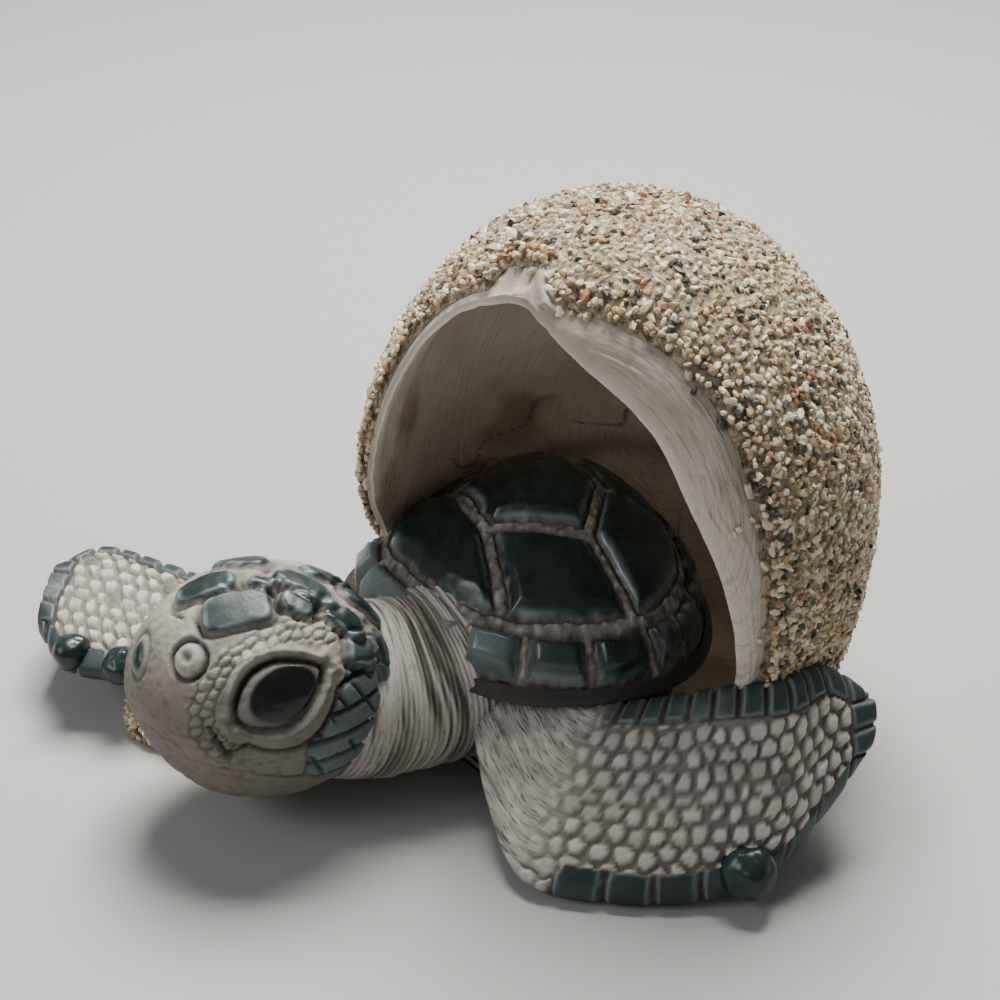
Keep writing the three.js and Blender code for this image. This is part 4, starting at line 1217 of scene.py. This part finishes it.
def make_flipper(name, lead, trail, lead_from, trail_from, edge_wide, seed):
    """A flat tongue between two rails: its cross-section is a rounded rectangle hung below the line
    between them, and the upper face carries pebbles inside and, beyond those shares of its length,
    blocks of that width along both edges."""
    s = np.linspace(0, 1, FLIPPER_STATIONS)
    a, b = rail(lead, s) @ TURN.T, rail(trail, s) @ TURN.T
    half = (b - a) / 2
    heading = np.gradient(a, axis=0) + np.gradient(b, axis=0)
    face = unit(np.cross(heading, half))
    face *= np.where(face[:, 2:] < 0, -1, 1)
    t = full_turn(FLIPPER_COLUMNS)
    across = np.sign(np.cos(t)) * np.abs(np.cos(t)) ** CORNER_POWER + 0 * s[:, None]
    thick = (np.sign(np.sin(t)) * np.abs(np.sin(t)) ** CORNER_POWER - 1) / 2 + 0 * s[:, None]
    upper = smooth(-0.1, 0.25, np.sin(t)) + 0 * across
    width = np.linalg.norm(half, axis=1)[:, None]
    middle = (a + b) / 2
    run = np.cumsum(np.linalg.norm(np.gradient(middle, axis=0), axis=1))[:, None]
    u, v = run + 0 * across, across * width
    from_lead, from_trail = (1 + across) * width, (1 - across) * width
    from_tip = run[-1] - run + 0 * across
    root = smooth(lead_from - 0.08, lead_from + 0.05, s)[:, None]
    flat = np.stack([u, v, 0 * u], axis=-1)
    near, next_near, tint = pebble_cells(
        u + 0.35 * lumps(flat, 3.1, seed + 5), v + 0.35 * lumps(flat, 3.1, seed + 6),
        SCALE_PITCH, seed,
    )
    ditch = next_near - near - 0.3 * tint
    pebble = smooth(0.15, 0.6, ditch) * smooth(1.15, 0.85, near)
    # The blocks of each edge begin some way out from the shoulder.
    from_lead = from_lead + 9 * smooth(lead_from + 0.04, lead_from - 0.02, s)[:, None]
    from_trail = from_trail + 9 * smooth(trail_from + 0.04, trail_from - 0.02, s)[:, None]
    edge_off = np.minimum(np.minimum(from_lead, from_trail), from_tip)
    edge_off = edge_off + 0.4 * lumps(flat, 4, seed + 1)
    border = smooth(edge_wide + 0.1, edge_wide - 0.1, edge_off)
    block_run = np.where(from_tip < np.minimum(from_lead, from_trail), v, u) + 0.5 * lumps(flat, 5, seed + 7)
    on_lead = from_lead < np.minimum(from_trail, from_tip)
    pitch = np.where(on_lead, LEAD_BLOCK, TRAIL_BLOCK)
    block = np.abs((block_run / pitch) % 1 - 0.5) * pitch
    block_off = np.minimum(pitch / 2 - block, np.where(on_lead, 9, np.abs(edge_off - edge_wide)))
    block_off += 0.12 * lumps(flat, 0.9, seed + 8)
    raised = smooth(0.08, 0.5, block_off)
    relief = root * upper * mix(0.55 * pebble - 0.35, 0.5 * raised - 0.35, border)
    creases = lumps(np.stack([0.25 * u, v * 1.4, 0 * u], axis=-1), 0.55, seed + 2)
    relief += (1 - root) * upper * 0.28 * creases
    notch = hump(pitch / 2 - block, 0.3) * smooth(0.7, 0.95, np.abs(across)) * root
    relief += 0.08 * rubble(flat, 1.5, seed + 3) * upper
    pulled = np.sign(across) * (0.015 + 0.5 * notch / width)
    grid = (middle[:, None] + half[:, None] * (across - pulled)[..., None]
            + face[:, None] * (FLIPPER_THICKNESS * thick + np.minimum(relief, 0.25))[..., None])
    glazed = border * root * smooth(0.1, 0.35, block_off)
    blue = (tint > 0.975) * (1 - border) * pebble * root
    side_wall = 1 - upper
    paint = {
        "across": v + 0.3 * lumps(flat, 2.5, seed + 4), "along": 0.12 * u,
        "combed": (1 - root) * upper,
        "glaze": np.clip(np.maximum(glazed, 0.8 * blue) + 0.75 * side_wall * root, 0, 1),
        "slate": np.clip(0.38 + 0.35 * lumps(flat, 3, seed + 9) - 0.3 * side_wall, 0, 1),
        "pale_edge_and_highlight": 0.5 * glazed * hump(block_off - 0.4, 0.2),
        # Painted shade between the pebbles, round the edge blocks, in the shoulder's crease troughs and over
        # the underside and side walls.
        "slip_and_shade": np.clip(upper * root * (0.3 * (1 - pebble) * (1 - border) + 0.9 * border * (1 - raised))
                        + (1 - root) * 0.5 * smooth(0.1, 0.8, -creases) + 0.2 * side_wall, 0, 0.95),
        "gloss": 0.5 * glazed,
        "dust_and_shade": np.clip(0.35 * upper * root * (1 - pebble) * (1 - border), 0, 1),
        # Pebbles paler than their gaps, and painted light on the crests of the shoulder's creases.
        "pale": upper * (root * (1 - border) * pebble * (0.3 + 0.55 * tint + 0.2 * smooth(0, 0.5, creases))
                         + (1 - root) * (0.3 + 0.6 * smooth(-0.2, 0.6, creases))),
    }
    make_skin(name, grid, paint, turtle_finish, "turtle")


make_flipper("left_flipper", LEFT_LEAD, LEFT_TRAIL, 0.31, 0.28, 3.0, 111)
make_flipper("right_flipper", RIGHT_LEAD, RIGHT_TRAIL, 0.2, 0.2, 2.3, 121)

# Claws: dark glossy knobs of clay half sunk in the leading edges, one on the left flipper and two
# on the right, part of the same clay as the turtle.
CLAWS = [((11.5, -30.6, 4), 2.8), ((-51.3, -3.4, 7.7), 2.1), ((-56.8, -1, 7.7), 2.1)]
CLAW_ROWS = 30
CLAW_COLUMNS = 48
tilt = (np.pi * np.arange(1, CLAW_ROWS) / CLAW_ROWS)[:, None]
around = full_turn(CLAW_COLUMNS)
knob = np.stack([
    np.sin(tilt) * np.cos(around), np.sin(tilt) * np.sin(around), np.cos(tilt) + 0 * around,
], axis=-1)
for number, (middle, radius) in enumerate(CLAWS):
    lumpy = radius - 0.1 + 0.35 * rubble(knob * radius + 9 * number, 1.8, 126)
    grid = knob * lumpy[..., None] + TURN @ np.array(middle)
    claw_paint = {
        # Painted light and shade: the glaze paler slate on top and darker underneath.
        "glaze": 1.0, "gloss": 0.9, "slate": 0.25 * smooth(0.3, 1, knob[..., 2]),
        "slip_and_shade": 0.3 * smooth(0.2, -0.6, knob[..., 2]),
    }
    make_skin(f"claw_{number + 1}", grid, claw_paint, turtle_finish, "turtle")

# Sand mound: a low lump of clay under the right flipper and the snout, rolled in the same sand
# while its glue was wet and pressed to the table.
MOUND_TOP = 7.0
MOUND_HALF_LENGTH = 11.6
MOUND_HALF_WIDTH = 7.2
MOUND_MIDDLE = np.array([-40, -2.5, 0])
MOUND_COLUMNS = 90
MOUND_ROWS = 34
MOUND_GRAINS = 900


def mound_point(tilt, around):
    """The mound's surface: an ellipse whose half-axes shrink by cos(tilt) to the power 0.8 while it
    rises by sin(tilt)."""
    wide = np.cos(tilt) ** 0.8
    return np.stack([
        MOUND_HALF_LENGTH * wide * np.cos(around), MOUND_HALF_WIDTH * wide * np.sin(around),
        MOUND_TOP * np.sin(tilt) + 0 * around,
    ], axis=-1)


around = full_turn(MOUND_COLUMNS)
tilt = np.linspace(0, 0.97, MOUND_ROWS)[:, None] * np.pi / 2
mound_grid = mound_point(tilt, around)
mound_grid += 0.3 * rubble(mound_grid, 1.6, 131)[..., None] * np.array([1, 1, 0.6])
mound_grid[..., 2] = np.maximum(mound_grid[..., 2], 0)
mound_grid = (mound_grid + MOUND_MIDDLE) @ TURN.T
make_skin("mound_skin", mound_grid, {}, glue_finish, "sand_mound")
rng = np.random.default_rng(17)
k = np.arange(MOUND_GRAINS)
mound_seats = mound_point(np.arcsin((k + 0.5) / MOUND_GRAINS), k * np.radians(GOLDEN_ANGLE))
mound_out = unit(mound_seats) @ TURN.T
mound_seats = (mound_seats + MOUND_MIDDLE) @ TURN.T
kept = mound_seats[:, 2] > SAND_LIFT
mound_radii = GRAIN_MIDDLE * np.clip(rng.lognormal(0, SIZE_SPREAD, MOUND_GRAINS), 0.6, 1.4)
points, faces, grain_tint = scattered_grains(mound_seats[kept], mound_out[kept], mound_radii[kept], 72)
points[:, 2] = np.maximum(points[:, 2], 0)
make_piece("mound_grains", points, faces, {"grain": grain_tint}, sand_finish, "sand_mound",
           rounded=False)
